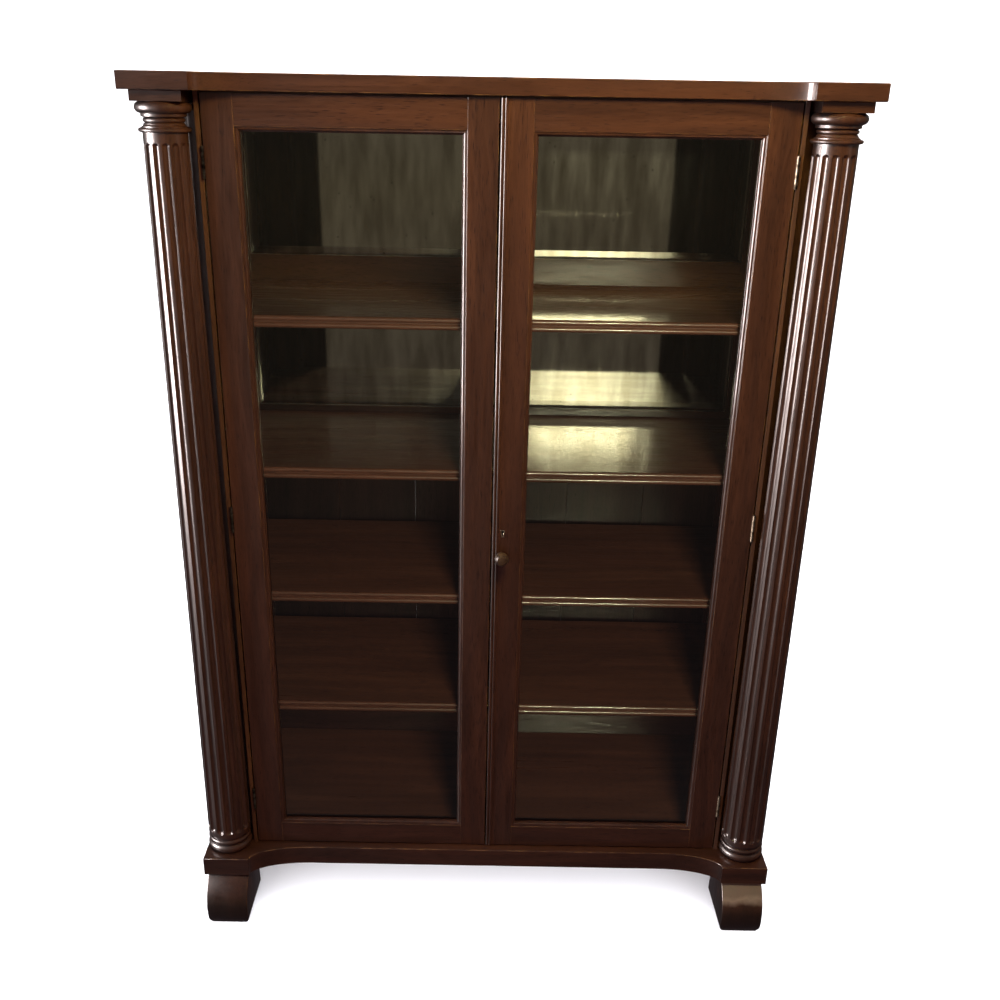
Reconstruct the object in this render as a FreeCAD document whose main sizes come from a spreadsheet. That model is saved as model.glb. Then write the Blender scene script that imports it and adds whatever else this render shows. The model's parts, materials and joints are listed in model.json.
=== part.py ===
import FreeCAD, Part
import math
import os
import re
import Sketcher

# A glazed display cabinet with two doors between fluted columns. It stands on scroll feet, its back is mirrored
# in the two upper bays, and four loose shelves lie on pegs. The origin is on the floor, under the middle of the
# whole outline: X runs to the viewer's right, Y to the back and Z up. All sizes are in millimetres.

SIZES = {
    # Case: heights are measured from the top of the plinth board
    "body_height": 1500,
    "side_inset": 30,
    "side_thick": 24,
    "post_width": 84,
    "back_margin": 6,
    # Top board with its two blocks and the coved recess between them
    "top_width": 1220,
    "top_depth": 512,
    "top_thick": 28,
    "top_block": 114,
    "top_recess": 45,
    "cove_length": 130,
    # Plinth board, shaped like the top
    "plinth_inset": 10,
    "plinth_thick": 42,
    "plinth_block": 96,
    "plinth_recess": 44,
    "plinth_reach": 6,
    # Feet
    "foot_height": 110,
    "foot_width": 86,
    "foot_inset": 3,
    "foot_reach": 36,
    "foot_depth": 129,
    "scroll_radius": 80,
    "scroll_rise": 40,
    "rear_foot_depth": 80,
    # Columns
    "abacus_width": 84,
    "abacus_thick": 17,
    "abacus_overhang": 15,
    "abacus_setback": 12,
    "base_radius": 46,
    "base_torus": 20,
    "base_quirk": 2,
    "base_bead": 10,
    "base_bead_radius": 44.5,
    "base_neck": 4,
    "base_flare": 4,
    "shaft_low_radius": 44,
    "shaft_top_radius": 36.5,
    "flutes": 14,
    "flute_low_radius": 8,
    "flute_top_radius": 6.2,
    "flute_low_depth": 5.5,
    "flute_top_depth": 4.4,
    "flute_start": 48,
    "flute_stop": 16,
    "astragal_height": 7,
    "astragal_radius": 43,
    "flare_radius": 37.5,
    "flare_height": 6,
    "flare_drop": 4,
    "throat_height": 2,
    "collar_height": 7,
    "collar_radius": 34.5,
    "ring_height": 5,
    "ring_radius": 37.2,
    "echinus_height": 18,
    # Front posts, hollowed behind the columns
    "post_depth": 66,
    "hollow_clearance": 3.7,
    # Frame and panel sides
    "side_stile": 70,
    "side_rail": 90,
    "panel_thick": 10,
    "panel_groove": 8,
    # Doors
    "door_setback": 56,
    "door_thick": 22,
    "hinge_gap": 3,
    "meeting_gap": 3,
    "door_clearance": 3,
    "hinge_stile": 53,
    "meeting_reach": 55,
    "door_rail": 48,
    "door_top_rail": 50,
    "moulding_width": 8,
    "moulding_quirk": 0.8,
    "moulding_fillet": 1.2,
    "glass_setback": 10,
    "glass_thick": 3,
    "glass_play": 0.5,
    "glazing_width": 8,
    "glazing_depth": 8,
    "strip_width": 12,
    "strip_proud": 3.5,
    "stop_gap": 0.5,
    # Case floor and head rail
    "floor_thick": 16,
    "head_rail": 30,
    "head_rail_depth": 22,
    # Shelves and their pegs
    "shelf_setback": 88,
    "shelf_thick": 22,
    "shelf_quirk": 2,
    "shelf_play": 0.5,
    "shelf_drop_1": 368,
    "shelf_drop_2": 654,
    "shelf_drop_3": 914,
    "shelf_drop_4": 1166,
    "peg_radius": 3,
    "peg_length": 18,
    "peg_reach": 8,
    "peg_inset": 35,
    "peg_play": 0.2,
    # Framed back with its mirrors and boards
    "back_thick": 22,
    "back_stile": 38,
    "back_top_rail": 50,
    "back_middle_rail": 90,
    "back_lower_rail": 60,
    "back_bottom_rail": 70,
    "upper_mirror_drop": 315,
    "lower_mirror_drop": 640,
    "mirror_thick": 4,
    "mirror_bevel": 22,
    "mirror_bevel_drop": 1.5,
    "mirror_setback": 13,
    "mirror_rebate": 6,
    "backing_thick": 4.5,
    "board_count": 6,
    "board_setback": 9,
    "board_thick": 10,
    "board_rebate": 8,
    "board_joint": 0.6,
    # Butt hinges
    "hinge_height": 51,
    "hinge_drop": 110,
    "hinge_rise": 114,
    "hinge_forward": 3,
    "leaf_thick": 1.3,
    "leaf_depth": 19,
    "leaf_clearance": 0.5,
    "knuckle_radius": 3,
    "knuckles": 5,
    "knuckle_gap": 0.3,
    "pin_radius": 1.5,
    "pin_play": 0.05,
    "pin_tip": 1,
    "screw_spacing": 17,
    "screw_radius": 1.3,
    "screw_head_radius": 2.6,
    "screw_length": 7,
    "screw_play": 0.1,
    # Knob
    "knob_level": 687,
    "knob_across": 18.5,
    "knob_radius": 13.5,
    "knob_neck_radius": 5.4,
    "knob_rose_radius": 6.2,
    "knob_rose": 3,
    "knob_neck": 5,
    "knob_tenon_radius": 5,
    "knob_tenon": 14,
    "knob_play": 0.2,
    # Lock with its keyhole
    "lock_level": 735,
    "keyhole_across": 20,
    "keyhole_radius": 2.4,
    "keyhole_slot": 2.2,
    "keyhole_drop": 9,
    "escutcheon_rim": 1.8,
    "escutcheon_thick": 2.3,
    "escutcheon_proud": 0.3,
    "lock_length": 38,
    "lock_height": 56,
    "lock_setback": 8,
    "lock_margin": 0.8,
    "bolt_length": 31,
    "bolt_thick": 6,
    "bolt_height": 24,
    "bolt_travel": 10,
    "bolt_play": 0.3,
    "strike_play": 0.5,
    # Shoot bolt at the back of the left door
    "shoot_across": 27,
    "shoot_radius": 3,
    "shoot_length": 88,
    "shoot_drop": 2,
    "shoot_travel": 12,
    "shoot_play": 0.08,
    "shoot_stand": 4.5,
    "shoot_plate_width": 26,
    "shoot_plate_length": 76,
    "shoot_plate_thick": 2,
    "shoot_plate_drop": 6,
    "keeper_width": 12,
    "keeper_height": 10,
    "keeper_inset": 8,
    "keeper_wall": 2,
    "thumb_radius": 2.5,
    "thumb_length": 12,
    "thumb_drop": 45,
    "socket_play": 0.3,
    # How far a cutting shape runs past what it cuts
    "overrun": 2,
}

doc = FreeCAD.newDocument("DisplayCabinet")
sheet = doc.addObject("Spreadsheet::Sheet", "Sizes")
for row, (name, size) in enumerate(SIZES.items(), start=1):
    sheet.set(f"A{row}", name)
    sheet.set(f"B{row}", str(size))
    sheet.setAlias(f"B{row}", name)
doc.recompute()


def bound(text):
    """An expression in the sheet's names, with each name written as a cell of the sheet."""
    return re.sub(r"[a-z]\w*", lambda word: "Sizes." * (word.group() in SIZES) + word.group(), str(text))


def number(text):
    """What such an expression comes to now."""
    return float(sheet.evalExpression(bound(text)))


# Places that several pieces share, each worked out from the sizes above
FRONT = "((foot_reach - top_depth) / 2)"
CASE_BACK = f"({FRONT} + top_depth - back_margin)"
BACK_FRONT = f"({CASE_BACK} - back_thick)"
BASE = "(foot_height + plinth_thick)"
CEILING = f"({BASE} + body_height)"
COLUMN_X = "(top_width / 2 - abacus_overhang - abacus_width / 2)"
COLUMN_Y = f"({FRONT} + abacus_setback + abacus_width / 2)"
DOOR_FRONT = f"({FRONT} + door_setback)"
DOOR_BACK = f"({DOOR_FRONT} + door_thick)"
POST_BACK = f"({DOOR_FRONT} + post_depth)"
SIDE_OUT = "(top_width / 2 - side_inset)"
SIDE_IN = f"({SIDE_OUT} - side_thick)"
POST_IN = f"({SIDE_OUT} - post_width)"
BAY = f"({SIDE_IN} - back_stile)"
SHELF_FRONT = f"({FRONT} + shelf_setback)"
DOOR_EDGE = f"({POST_IN} - hinge_gap)"
SIGHT_OUT = f"({DOOR_EDGE} - hinge_stile)"
DOOR_LOW = f"({BASE} + door_clearance)"
DOOR_HIGH = f"({CEILING} - door_clearance)"
SIGHT_LOW = f"({DOOR_LOW} + door_rail)"
SIGHT_HIGH = f"({DOOR_HIGH} - door_top_rail)"
GLASS_FRONT = f"({DOOR_FRONT} + glass_setback)"
GLASS_BACK = f"({GLASS_FRONT} + glass_thick)"
AXIS_X = f"({POST_IN} - hinge_gap / 2)"
AXIS_Y = f"({DOOR_FRONT} - hinge_forward)"
LOCK_FRONT = f"({DOOR_FRONT} + lock_setback)"
LOCK_MIDDLE = f"({BASE} + lock_level)"
UPPER_MIRROR = (f"({CEILING} - upper_mirror_drop)", f"({CEILING} - back_top_rail)")
LOWER_MIRROR = (f"({CEILING} - lower_mirror_drop)", f"({CEILING} - upper_mirror_drop - back_middle_rail)")
BOARDS = (f"({BASE} + back_bottom_rail)", f"({CEILING} - lower_mirror_drop - back_lower_rail)")
SIDES = {"left": -1, "right": 1}
PARTS = []


def across(sign, inner, outer):
    """A stretch of X on one side of the middle, from low to high."""
    return (inner, outer) if sign > 0 else (f"-({outer})", f"-({inner})")


def block(name, x, y, z):
    """A squared piece between a low and a high place along each axis."""
    made = doc.addObject("Part::Box", name)
    for axis, side, (low, high) in zip("xyz", ("Length", "Width", "Height"), (x, y, z)):
        made.setExpression(f"Placement.Base.{axis}", bound(low))
        made.setExpression(side, bound(f"{high} - ({low})"))
    return made


def turn_to(made, direction):
    """Lays a piece that was made along Z along another axis."""
    made.Placement = FreeCAD.Placement(
        FreeCAD.Vector(), FreeCAD.Rotation(FreeCAD.Vector(0, 0, 1), FreeCAD.Vector(*direction)))


def place(made, centre):
    for axis, where in zip("xyz", centre):
        made.setExpression(f"Placement.Base.{axis}", bound(where))


def rod(name, start, direction, radius, length):
    """A round bar from the middle of its first end."""
    made = doc.addObject("Part::Cylinder", name)
    turn_to(made, direction)
    place(made, start)
    made.setExpression("Radius", bound(radius))
    made.setExpression("Height", bound(length))
    return made


def cone(name, start, direction, first_radius, last_radius, length):
    """A tapered bar from the middle of its first end."""
    made = doc.addObject("Part::Cone", name)
    turn_to(made, direction)
    place(made, start)
    made.setExpression("Radius1", bound(first_radius))
    made.setExpression("Radius2", bound(last_radius))
    made.setExpression("Height", bound(length))
    return made


def fuse(name, shapes):
    made = doc.addObject("Part::MultiFuse", name)
    made.Shapes = shapes
    return made


def common(name, first, second):
    made = doc.addObject("Part::Common", name)
    made.Base = first
    made.Tool = second
    return made


def cut(name, base, tools):
    made = doc.addObject("Part::Cut", name)
    made.Base = base
    made.Tool = tools[0] if len(tools) == 1 else fuse(name + "_cutters", tools)
    return made


def group(name, shapes):
    """Separate solids that share one name, such as a set of screws."""
    made = doc.addObject("Part::Compound", name)
    made.Links = shapes
    return made


def keep(made, label):
    """Marks a finished piece with the name that it is known by."""
    made.Label = label
    PARTS.append(made)
    return made


def new_body(name):
    return doc.addObject("PartDesign::Body", name)


def outline(body, name, role, steps):
    """A closed outline on one of the body's own planes. A step (x, y) runs straight to that corner, and a step
    (x, y, cx, cy, turn) runs there on an arc about (cx, cy), where turn is 1 anticlockwise and -1 clockwise."""
    sketch = body.newObject("Sketcher::SketchObject", name)
    plane = [part for part in body.Origin.OriginFeatures if part.Role == role][0]
    sketch.AttachmentSupport = [(plane, "")]
    sketch.MapMode = "FlatFace"
    corners = [FreeCAD.Vector(number(step[0]), number(step[1]), 0) for step in steps]
    first_ends = []
    last_ends = []
    for index, step in enumerate(steps):
        start = corners[index - 1]
        end = corners[index]
        turn = step[4] if len(step) == 5 else 1
        if len(step) == 5:
            middle = FreeCAD.Vector(number(step[2]), number(step[3]), 0)
            angles = [math.atan2(*(corner - middle)[1::-1]) for corner in (start, end)]
            low, high = angles[::turn]
            circle = Part.Circle(middle, FreeCAD.Vector(0, 0, 1), (start - middle).Length)
            sketch.addGeometry(Part.ArcOfCircle(circle, low, high + math.tau * (high <= low)), False)
        else:
            sketch.addGeometry(Part.LineSegment(start, end), False)
        first_ends.append((index, 1 if turn > 0 else 2))
        last_ends.append((index, 2 if turn > 0 else 1))
    for index, step in enumerate(steps):
        sketch.addConstraint(Sketcher.Constraint("Coincident", *last_ends[index - 1], *first_ends[index]))
    for index, step in enumerate(steps):
        fixed = [("DistanceX", last_ends[index], step[0]), ("DistanceY", last_ends[index], step[1])]
        if len(step) == 5:
            chord = corners[index] - corners[index - 1]
            flat = abs(chord.x) > abs(chord.y)
            fixed.append(("DistanceY", (index, 3), step[3]) if flat else ("DistanceX", (index, 3), step[2]))
        for kind, point, text in fixed:
            rule = sketch.addConstraint(Sketcher.Constraint(kind, -1, 1, *point, number(text)))
            sketch.setExpression(f"Constraints[{rule}]", bound(text))
    return sketch


def turned(name, steps):
    """A piece turned about Z, from its half outline."""
    body = new_body(name)
    lathe = body.newObject("PartDesign::Revolution", name + "_turning")
    lathe.Profile = outline(body, name + "_outline", "XZ_Plane", steps)
    lathe.ReferenceAxis = (lathe.Profile[0], ["V_Axis"])
    lathe.Angle = 360
    return body


def run(name, role, steps, length):
    """A piece of one section all along, from its outline on a plane of its own."""
    body = new_body(name)
    pad = body.newObject("PartDesign::Pad", name + "_length")
    pad.Profile = outline(body, name + "_outline", role, steps)
    pad.setExpression("Length", bound(length))
    return body


# Top and plinth boards: blocks at the ends, a shallow recess between them, and a quarter of an ellipse where
# the front steps back
def coved_board(label, width, front, back, low, high, block_width, recess):
    board = block(label + "_board", (f"-({width}) / 2", f"{width} / 2"), (front, back), (low, high))
    flat = f"({width} / 2 - {block_width} - cove_length)"
    slot = block(label + "_recess", (f"-{flat}", flat), (f"{front} - overrun", f"{front} + {recess}"),
                 (f"{low} - overrun", f"{high} + overrun"))
    cutters = [slot]
    for side, sign in SIDES.items():
        oval = doc.addObject("Part::Ellipse", f"{label}_cove_{side}")
        oval.setExpression("MajorRadius", bound("cove_length"))
        oval.setExpression("MinorRadius", bound(recess))
        place(oval, (f"{sign} * {flat}", front, f"{low} - overrun"))
        cove = doc.addObject("Part::Extrusion", f"{label}_cove_cut_{side}")
        cove.Base = oval
        cove.DirMode = "Custom"
        cove.Dir = FreeCAD.Vector(0, 0, 1)
        cove.setExpression("LengthFwd", bound(f"{high} - ({low}) + 2 * overrun"))
        cove.Solid = True
        cutters.append(cove)
    return keep(cut(label, board, cutters), label)


coved_board("top_board", "top_width", FRONT, f"{FRONT} + top_depth", CEILING, f"{CEILING} + top_thick",
            "top_block", "top_recess")
coved_board("plinth_board", "(top_width - 2 * plinth_inset)", f"({FRONT} - plinth_reach)", CASE_BACK, "foot_height", BASE,
            "plinth_block", "plinth_recess")


# Feet: a scroll foot swells forward of the plinth under each column, and a plain block stands at the back
def foot(side, sign):
    middle = f"({COLUMN_X} - foot_inset)"
    stretch = across(sign, f"{middle} - foot_width / 2", f"{middle} + foot_width / 2")
    nose = f"({FRONT} - foot_reach)"
    centre = f"({nose} + scroll_radius)"
    roll = rod(f"foot_roll_{side}", (stretch[0], centre, "scroll_rise"), (1, 0, 0), "scroll_radius", "foot_width")
    front = block(f"foot_nose_{side}", stretch, (nose, centre), (0, "foot_height"))
    swell = common(f"foot_swell_{side}", front, roll)
    heel = block(f"foot_heel_{side}", stretch, (centre, f"{nose} + foot_depth"), (0, "foot_height"))
    keep(fuse(f"foot_front_{side}", [swell, heel]), f"foot_front_{side}")
    keep(block(f"foot_rear_{side}", stretch, (f"{CASE_BACK} - rear_foot_depth", CASE_BACK), (0, "foot_height")),
         f"foot_rear_{side}")


# Columns: a turned shaft with its base and round-ended flutes, a turned capital and a square abacus
def column(side, sign):
    axis = (f"{sign} * {COLUMN_X}", COLUMN_Y, BASE)
    torus_flat = "(base_radius - base_torus / 2)"
    bead_flat = "(base_bead_radius - base_bead / 2)"
    bead_low = "(base_torus + base_quirk)"
    neck_top = f"({bead_low} + base_bead + base_neck)"
    neck_radius = "(shaft_low_radius - base_flare)"
    capital_height = ("(astragal_height + flare_height + throat_height + collar_height + throat_height"
                      " + ring_height + echinus_height)")
    shaft_height = f"(body_height - abacus_thick - {capital_height})"
    shaft = turned(f"column_shaft_{side}", [
        (0, 0),
        (torus_flat, 0),
        (torus_flat, "base_torus", torus_flat, "base_torus / 2", 1),
        (bead_flat, "base_torus"),
        (bead_flat, bead_low),
        (bead_flat, f"{bead_low} + base_bead", bead_flat, f"{bead_low} + base_bead / 2", 1),
        (neck_radius, f"{bead_low} + base_bead"),
        (neck_radius, neck_top),
        ("shaft_low_radius", f"{neck_top} + base_flare", "shaft_low_radius", neck_top, -1),
        ("shaft_top_radius", shaft_height),
        (0, shaft_height),
    ])
    low = "(flute_start + flute_low_radius)"
    high = f"({shaft_height} - flute_stop - flute_top_radius)"
    low_out = "(shaft_low_radius + flute_low_radius - flute_low_depth)"
    high_out = "(shaft_top_radius + flute_top_radius - flute_top_depth)"
    cutter = outline(shaft, f"flute_outline_{side}", "XZ_Plane", [
        (low_out, "flute_start"),
        (f"{low_out} - flute_low_radius", low, low_out, low, -1),
        (f"{high_out} - flute_top_radius", high),
        (high_out, f"{high} + flute_top_radius", high_out, high, -1),
    ])
    ends = [FreeCAD.Vector(number(low_out), number("flute_start"), 0),
            FreeCAD.Vector(number(high_out), number(f"{high} + flute_top_radius"), 0)]
    line = cutter.addGeometry(Part.LineSegment(*ends), True)
    cutter.addConstraint(Sketcher.Constraint("Coincident", line, 1, 0, 2))
    cutter.addConstraint(Sketcher.Constraint("Coincident", line, 2, 0, 1))
    flute = shaft.newObject("PartDesign::Groove", f"flute_{side}")
    flute.Profile = cutter
    flute.ReferenceAxis = (cutter, ["Axis0"])
    flute.Angle = 360
    ring = shaft.newObject("PartDesign::PolarPattern", f"flutes_{side}")
    ring.Originals = [flute]
    ring.Axis = ([part for part in shaft.Origin.OriginFeatures if part.Role == "Z_Axis"][0], [""])
    ring.Angle = 360
    ring.setExpression("Occurrences", bound("flutes"))
    shaft.Tip = ring
    place(shaft, axis)
    keep(shaft, f"column_shaft_{side}")

    bead_out = "(astragal_radius - astragal_height / 2)"
    flare_top = "(astragal_height + flare_height)"
    throat = "(flare_radius - flare_drop)"
    collar_low = f"({flare_top} + throat_height)"
    collar_flat = "(collar_radius - collar_height / 2)"
    ring_low = f"({collar_low} + collar_height + throat_height)"
    ring_top = f"({ring_low} + ring_height)"
    capital = turned(f"capital_{side}", [
        (0, 0),
        (bead_out, 0),
        (bead_out, "astragal_height", bead_out, "astragal_height / 2", 1),
        ("flare_radius", "astragal_height"),
        ("flare_radius", f"{flare_top} - flare_drop"),
        (throat, flare_top, "flare_radius", flare_top, -1),
        (collar_flat, collar_low),
        (collar_flat, f"{collar_low} + collar_height", collar_flat, f"{collar_low} + collar_height / 2", 1),
        ("ring_radius", ring_low),
        ("ring_radius", ring_top),
        ("ring_radius", f"{ring_top} + echinus_height", "ring_radius", f"{ring_top} + echinus_height / 2", 1),
        (0, f"{ring_top} + echinus_height"),
    ])
    place(capital, (axis[0], axis[1], f"{BASE} + {shaft_height}"))
    keep(capital, f"capital_{side}")

    square = (across(sign, f"{COLUMN_X} - abacus_width / 2", f"{COLUMN_X} + abacus_width / 2"),
              (f"{COLUMN_Y} - abacus_width / 2", f"{COLUMN_Y} + abacus_width / 2"),
              (f"{CEILING} - abacus_thick", CEILING))
    return keep(block(f"abacus_{side}", *square), f"abacus_{side}")


# Screws of a hinge leaf: a countersunk head in the leaf and a shank in the wood behind it. The same function
# with some play gives the holes.
def leaf_screws(name, sign, start, level, play):
    made = []
    for step in (-1, 0, 1):
        height = f"{level} + {step} * screw_spacing"
        where = (start, f"{AXIS_Y} + hinge_forward + leaf_depth / 2", height)
        head = cone(f"{name}_head_{step + 2}", where, (sign, 0, 0), f"screw_head_radius + {play}",
                    f"screw_radius + {play}", "leaf_thick")
        shank_start = f"{start} + {sign} * leaf_thick"
        shank = rod(f"{name}_shank_{step + 2}", (shank_start, *where[1:]), (sign, 0, 0),
                    f"screw_radius + {play}", f"screw_length + {play}")
        made.append(fuse(f"{name}_{step + 2}", [head, shank]))
    return made


# Butt hinges: a leaf on the post and one on the door, with five knuckles between them on one pin
def hinge_leaf(name, face, level, outward, odd):
    """One leaf: face is the wood that it lies on, outward is where its screws go along X, and odd tells
    which knuckles are its own."""
    low = f"({level} - hinge_height / 2)"
    pitch = "(hinge_height / knuckles)"
    sheet_x = (f"{face} - leaf_thick", face) if outward > 0 else (face, f"{face} + leaf_thick")
    plate_back = f"{AXIS_Y} + hinge_forward + leaf_depth"
    shapes = [block(name + "_plate", sheet_x, (f"{AXIS_Y} + knuckle_radius + leaf_clearance", plate_back),
                    (low, f"{low} + hinge_height"))]
    axis_x = f"{1 if number(face) > 0 else -1} * {AXIS_X}"
    for index in range(odd, int(number("knuckles")), 2):
        start = f"({low} + {index} * {pitch} + knuckle_gap / 2)"
        end = f"({low} + {index + 1} * {pitch} - knuckle_gap / 2)"
        shapes.append(block(f"{name}_tail_{index}", sheet_x, (AXIS_Y, plate_back), (start, end)))
        shapes.append(rod(f"{name}_knuckle_{index}", (axis_x, AXIS_Y, start), (0, 0, 1), "knuckle_radius",
                          f"{end} - {start}"))
    bore = rod(name + "_bore", (axis_x, AXIS_Y, f"{low} - overrun"), (0, 0, 1), "pin_radius + pin_play",
               "hinge_height + 2 * overrun")
    holes = leaf_screws(name + "_hole", outward, f"({face} - {outward} * leaf_thick)", level, "screw_play")
    return cut(name, fuse(name + "_metal", shapes), [bore, *holes])


LEVELS = [f"({CEILING} - hinge_drop)", f"(({BASE} + hinge_rise + {CEILING} - hinge_drop) / 2)",
          f"({BASE} + hinge_rise)"]
case_leaves = []
case_screws = []
pins = []
post_holes = {}
door_leaves = {}
door_screws = {}
stile_holes = {}
for side, sign in SIDES.items():
    post_holes[side] = []
    door_leaves[side] = []
    door_screws[side] = []
    stile_holes[side] = []
    for index, level in enumerate(LEVELS, start=1):
        name = f"{side}_{index}"
        post_face = f"({sign} * {POST_IN})"
        door_face = f"({sign} * {DOOR_EDGE})"
        case_leaves.append(hinge_leaf(f"case_leaf_{name}", post_face, level, sign, 0))
        door_leaves[side].append(hinge_leaf(f"door_leaf_{name}", door_face, level, -sign, 1))
        pins.append(rod(f"pin_{name}", (f"{sign} * {AXIS_X}", AXIS_Y, f"{level} - hinge_height / 2 - pin_tip"),
                        (0, 0, 1), "pin_radius", "hinge_height + 2 * pin_tip"))
        post_start = f"({post_face} - {sign} * leaf_thick)"
        door_start = f"({door_face} + {sign} * leaf_thick)"
        case_screws += leaf_screws(f"case_screw_{name}", sign, post_start, level, 0)
        post_holes[side] += leaf_screws(f"post_hole_{name}", sign, post_start, level, "screw_play")
        door_screws[side] += leaf_screws(f"door_screw_{name}", -sign, door_start, level, 0)
        stile_holes[side] += leaf_screws(f"stile_hole_{name}", -sign, door_start, level, "screw_play")
keep(group("case_hinge_leaves", case_leaves), "case_hinge_leaves")
keep(group("case_hinge_screws", case_screws), "case_hinge_screws")
keep(group("hinge_pins", pins), "hinge_pins")
for side in SIDES:
    keep(group(f"{side}_door_hinge_leaves", door_leaves[side]), f"{side}_door_hinge_leaves")
    keep(group(f"{side}_door_hinge_screws", door_screws[side]), f"{side}_door_hinge_screws")


# Shelf pegs, and the holes for them in the side stiles
SHELF_LEVELS = [f"({CEILING} - shelf_drop_{index})" for index in (1, 2, 3, 4)]
PEG_ROWS = (f"({POST_BACK} + peg_inset)", f"({CASE_BACK} - side_stile + peg_inset - peg_reach)")


def pegs(name, sign, radius, length):
    made = []
    for index, level in enumerate(SHELF_LEVELS, start=1):
        for row, depth in enumerate(PEG_ROWS, start=1):
            height = f"{level} - shelf_thick - peg_play - peg_radius"
            start = f"{sign} * ({SIDE_IN} - peg_reach)"
            made.append(rod(f"{name}_{index}_{row}", (start, depth, height), (sign, 0, 0), radius, length))
    return made


all_pegs = []
for side, sign in SIDES.items():
    all_pegs += pegs(f"peg_{side}", sign, "peg_radius", "peg_length")
keep(group("shelf_pegs", all_pegs), "shelf_pegs")


# Front posts and the frame and panel sides behind them
def case_side(side, sign, abacus):
    post = block(f"post_board_{side}", across(sign, POST_IN, SIDE_OUT), (DOOR_FRONT, POST_BACK), (BASE, CEILING))
    hollow = rod(f"post_hollow_{side}", (f"{sign} * {COLUMN_X}", COLUMN_Y, f"{BASE} - overrun"), (0, 0, 1),
                 "base_radius + hollow_clearance", "body_height + 2 * overrun")
    keep(cut(f"front_post_{side}", post, [hollow, abacus, *post_holes[side]]), f"front_post_{side}")

    wide = across(sign, SIDE_IN, SIDE_OUT)
    front = (POST_BACK, f"{POST_BACK} + side_stile")
    rear = (f"{CASE_BACK} - side_stile", CASE_BACK)
    between = (front[1], rear[0])
    middle = f"(({SIDE_IN} + {SIDE_OUT}) / 2)"
    panel = block(f"side_panel_{side}", across(sign, f"{middle} - panel_thick / 2", f"{middle} + panel_thick / 2"),
                  (f"{front[1]} - panel_groove", f"{rear[0]} + panel_groove"),
                  (f"{BASE} + side_rail - panel_groove", f"{CEILING} - side_rail + panel_groove"))
    holes = pegs(f"peg_hole_{side}", sign, "peg_radius + peg_play", "peg_length + peg_play")
    stiles = []
    for name, depth in (("front", front), ("rear", rear)):
        stile = block(f"side_{name}_board_{side}", wide, depth, (BASE, CEILING))
        stiles.append(cut(f"side_{name}_stile_{side}", stile, [panel, *holes]))
    keep(group(f"side_stiles_{side}", stiles), f"side_stiles_{side}")
    rails = []
    for name, height in (("top", (f"{CEILING} - side_rail", CEILING)), ("bottom", (BASE, f"{BASE} + side_rail"))):
        rail = block(f"side_{name}_board2_{side}", wide, between, height)
        rails.append(cut(f"side_{name}_rail_{side}", rail, [panel]))
    keep(group(f"side_rails_{side}", rails), f"side_rails_{side}")
    keep(panel, f"side_panel_{side}")


for side, sign in SIDES.items():
    foot(side, sign)
    case_side(side, sign, column(side, sign))


# Case floor and head rail: the doors shut against their front edges
def post_notches(name, low, high):
    """What the two front posts take out of a board that lies between them."""
    return [block(f"{name}_notch_{side}", across(sign, f"{POST_IN} - shelf_play", f"{SIDE_OUT} + overrun"),
                  (f"{FRONT} + door_setback - overrun", f"{POST_BACK} + shelf_play"), (low, high))
            for side, sign in SIDES.items()]


STOP = f"({DOOR_BACK} + stop_gap)"
floor_board = block("floor_board", (f"-{SIDE_IN}", SIDE_IN), (STOP, BACK_FRONT), (BASE, f"{BASE} + floor_thick"))
keep(cut("case_floor", floor_board, post_notches("floor", f"{BASE} - overrun", f"{BASE} + floor_thick + overrun")),
     "case_floor")

SHOOT_X = "(-(meeting_gap + shoot_across))"
SHOOT_Y = f"({DOOR_BACK} + shoot_plate_thick + shoot_stand)"
RAIL_LOW = f"({CEILING} - head_rail)"
head_board = block("head_board", (f"-{POST_IN}", POST_IN), (STOP, f"{STOP} + head_rail_depth"), (RAIL_LOW, CEILING))
socket = rod("shoot_socket", (SHOOT_X, SHOOT_Y, f"{RAIL_LOW} - overrun"), (0, 0, 1), "shoot_radius + socket_play",
             "overrun + shoot_travel + overrun")
keep(cut("head_rail", head_board, [socket]), "head_rail")


# Loose shelves: two beads are worked along the front edge, and the front corners are cut round the posts
def shelf(index, level):
    name = f"shelf_{index}"
    bead = "((shelf_thick - shelf_quirk) / 4)"
    depth = f"({BACK_FRONT} - {SHELF_FRONT} - shelf_play)"
    width = f"(2 * ({SIDE_IN} - shelf_play))"
    board = run(name + "_board", "YZ_Plane", [
        (bead, 0, bead, bead, 1),
        (depth, 0),
        (depth, "shelf_thick"),
        (bead, "shelf_thick"),
        (bead, f"shelf_thick - 2 * {bead}", bead, f"shelf_thick - {bead}", 1),
        (bead, f"2 * {bead}"),
    ], width)
    place(board, (f"-{width} / 2", SHELF_FRONT, f"{level} - shelf_thick"))
    notches = post_notches(name, f"{level} - shelf_thick - overrun", f"{level} + overrun")
    keep(cut(name, board, notches), name)


for index, level in enumerate(SHELF_LEVELS, start=1):
    shelf(index, level)


# Back: a frame of stiles and rails, two bevelled mirrors in rebates with their backing, and plain boards below
def rebate(name, bay, margin, depth):
    """The room behind a bay of the back frame, wider than the bay by a margin all round."""
    return block(name, (f"-({BAY} + {margin})", f"{BAY} + {margin}"),
                 (f"{BACK_FRONT} + {depth}", f"{CASE_BACK} + overrun"),
                 (f"{bay[0]} - {margin}", f"{bay[1]} + {margin}"))


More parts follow.
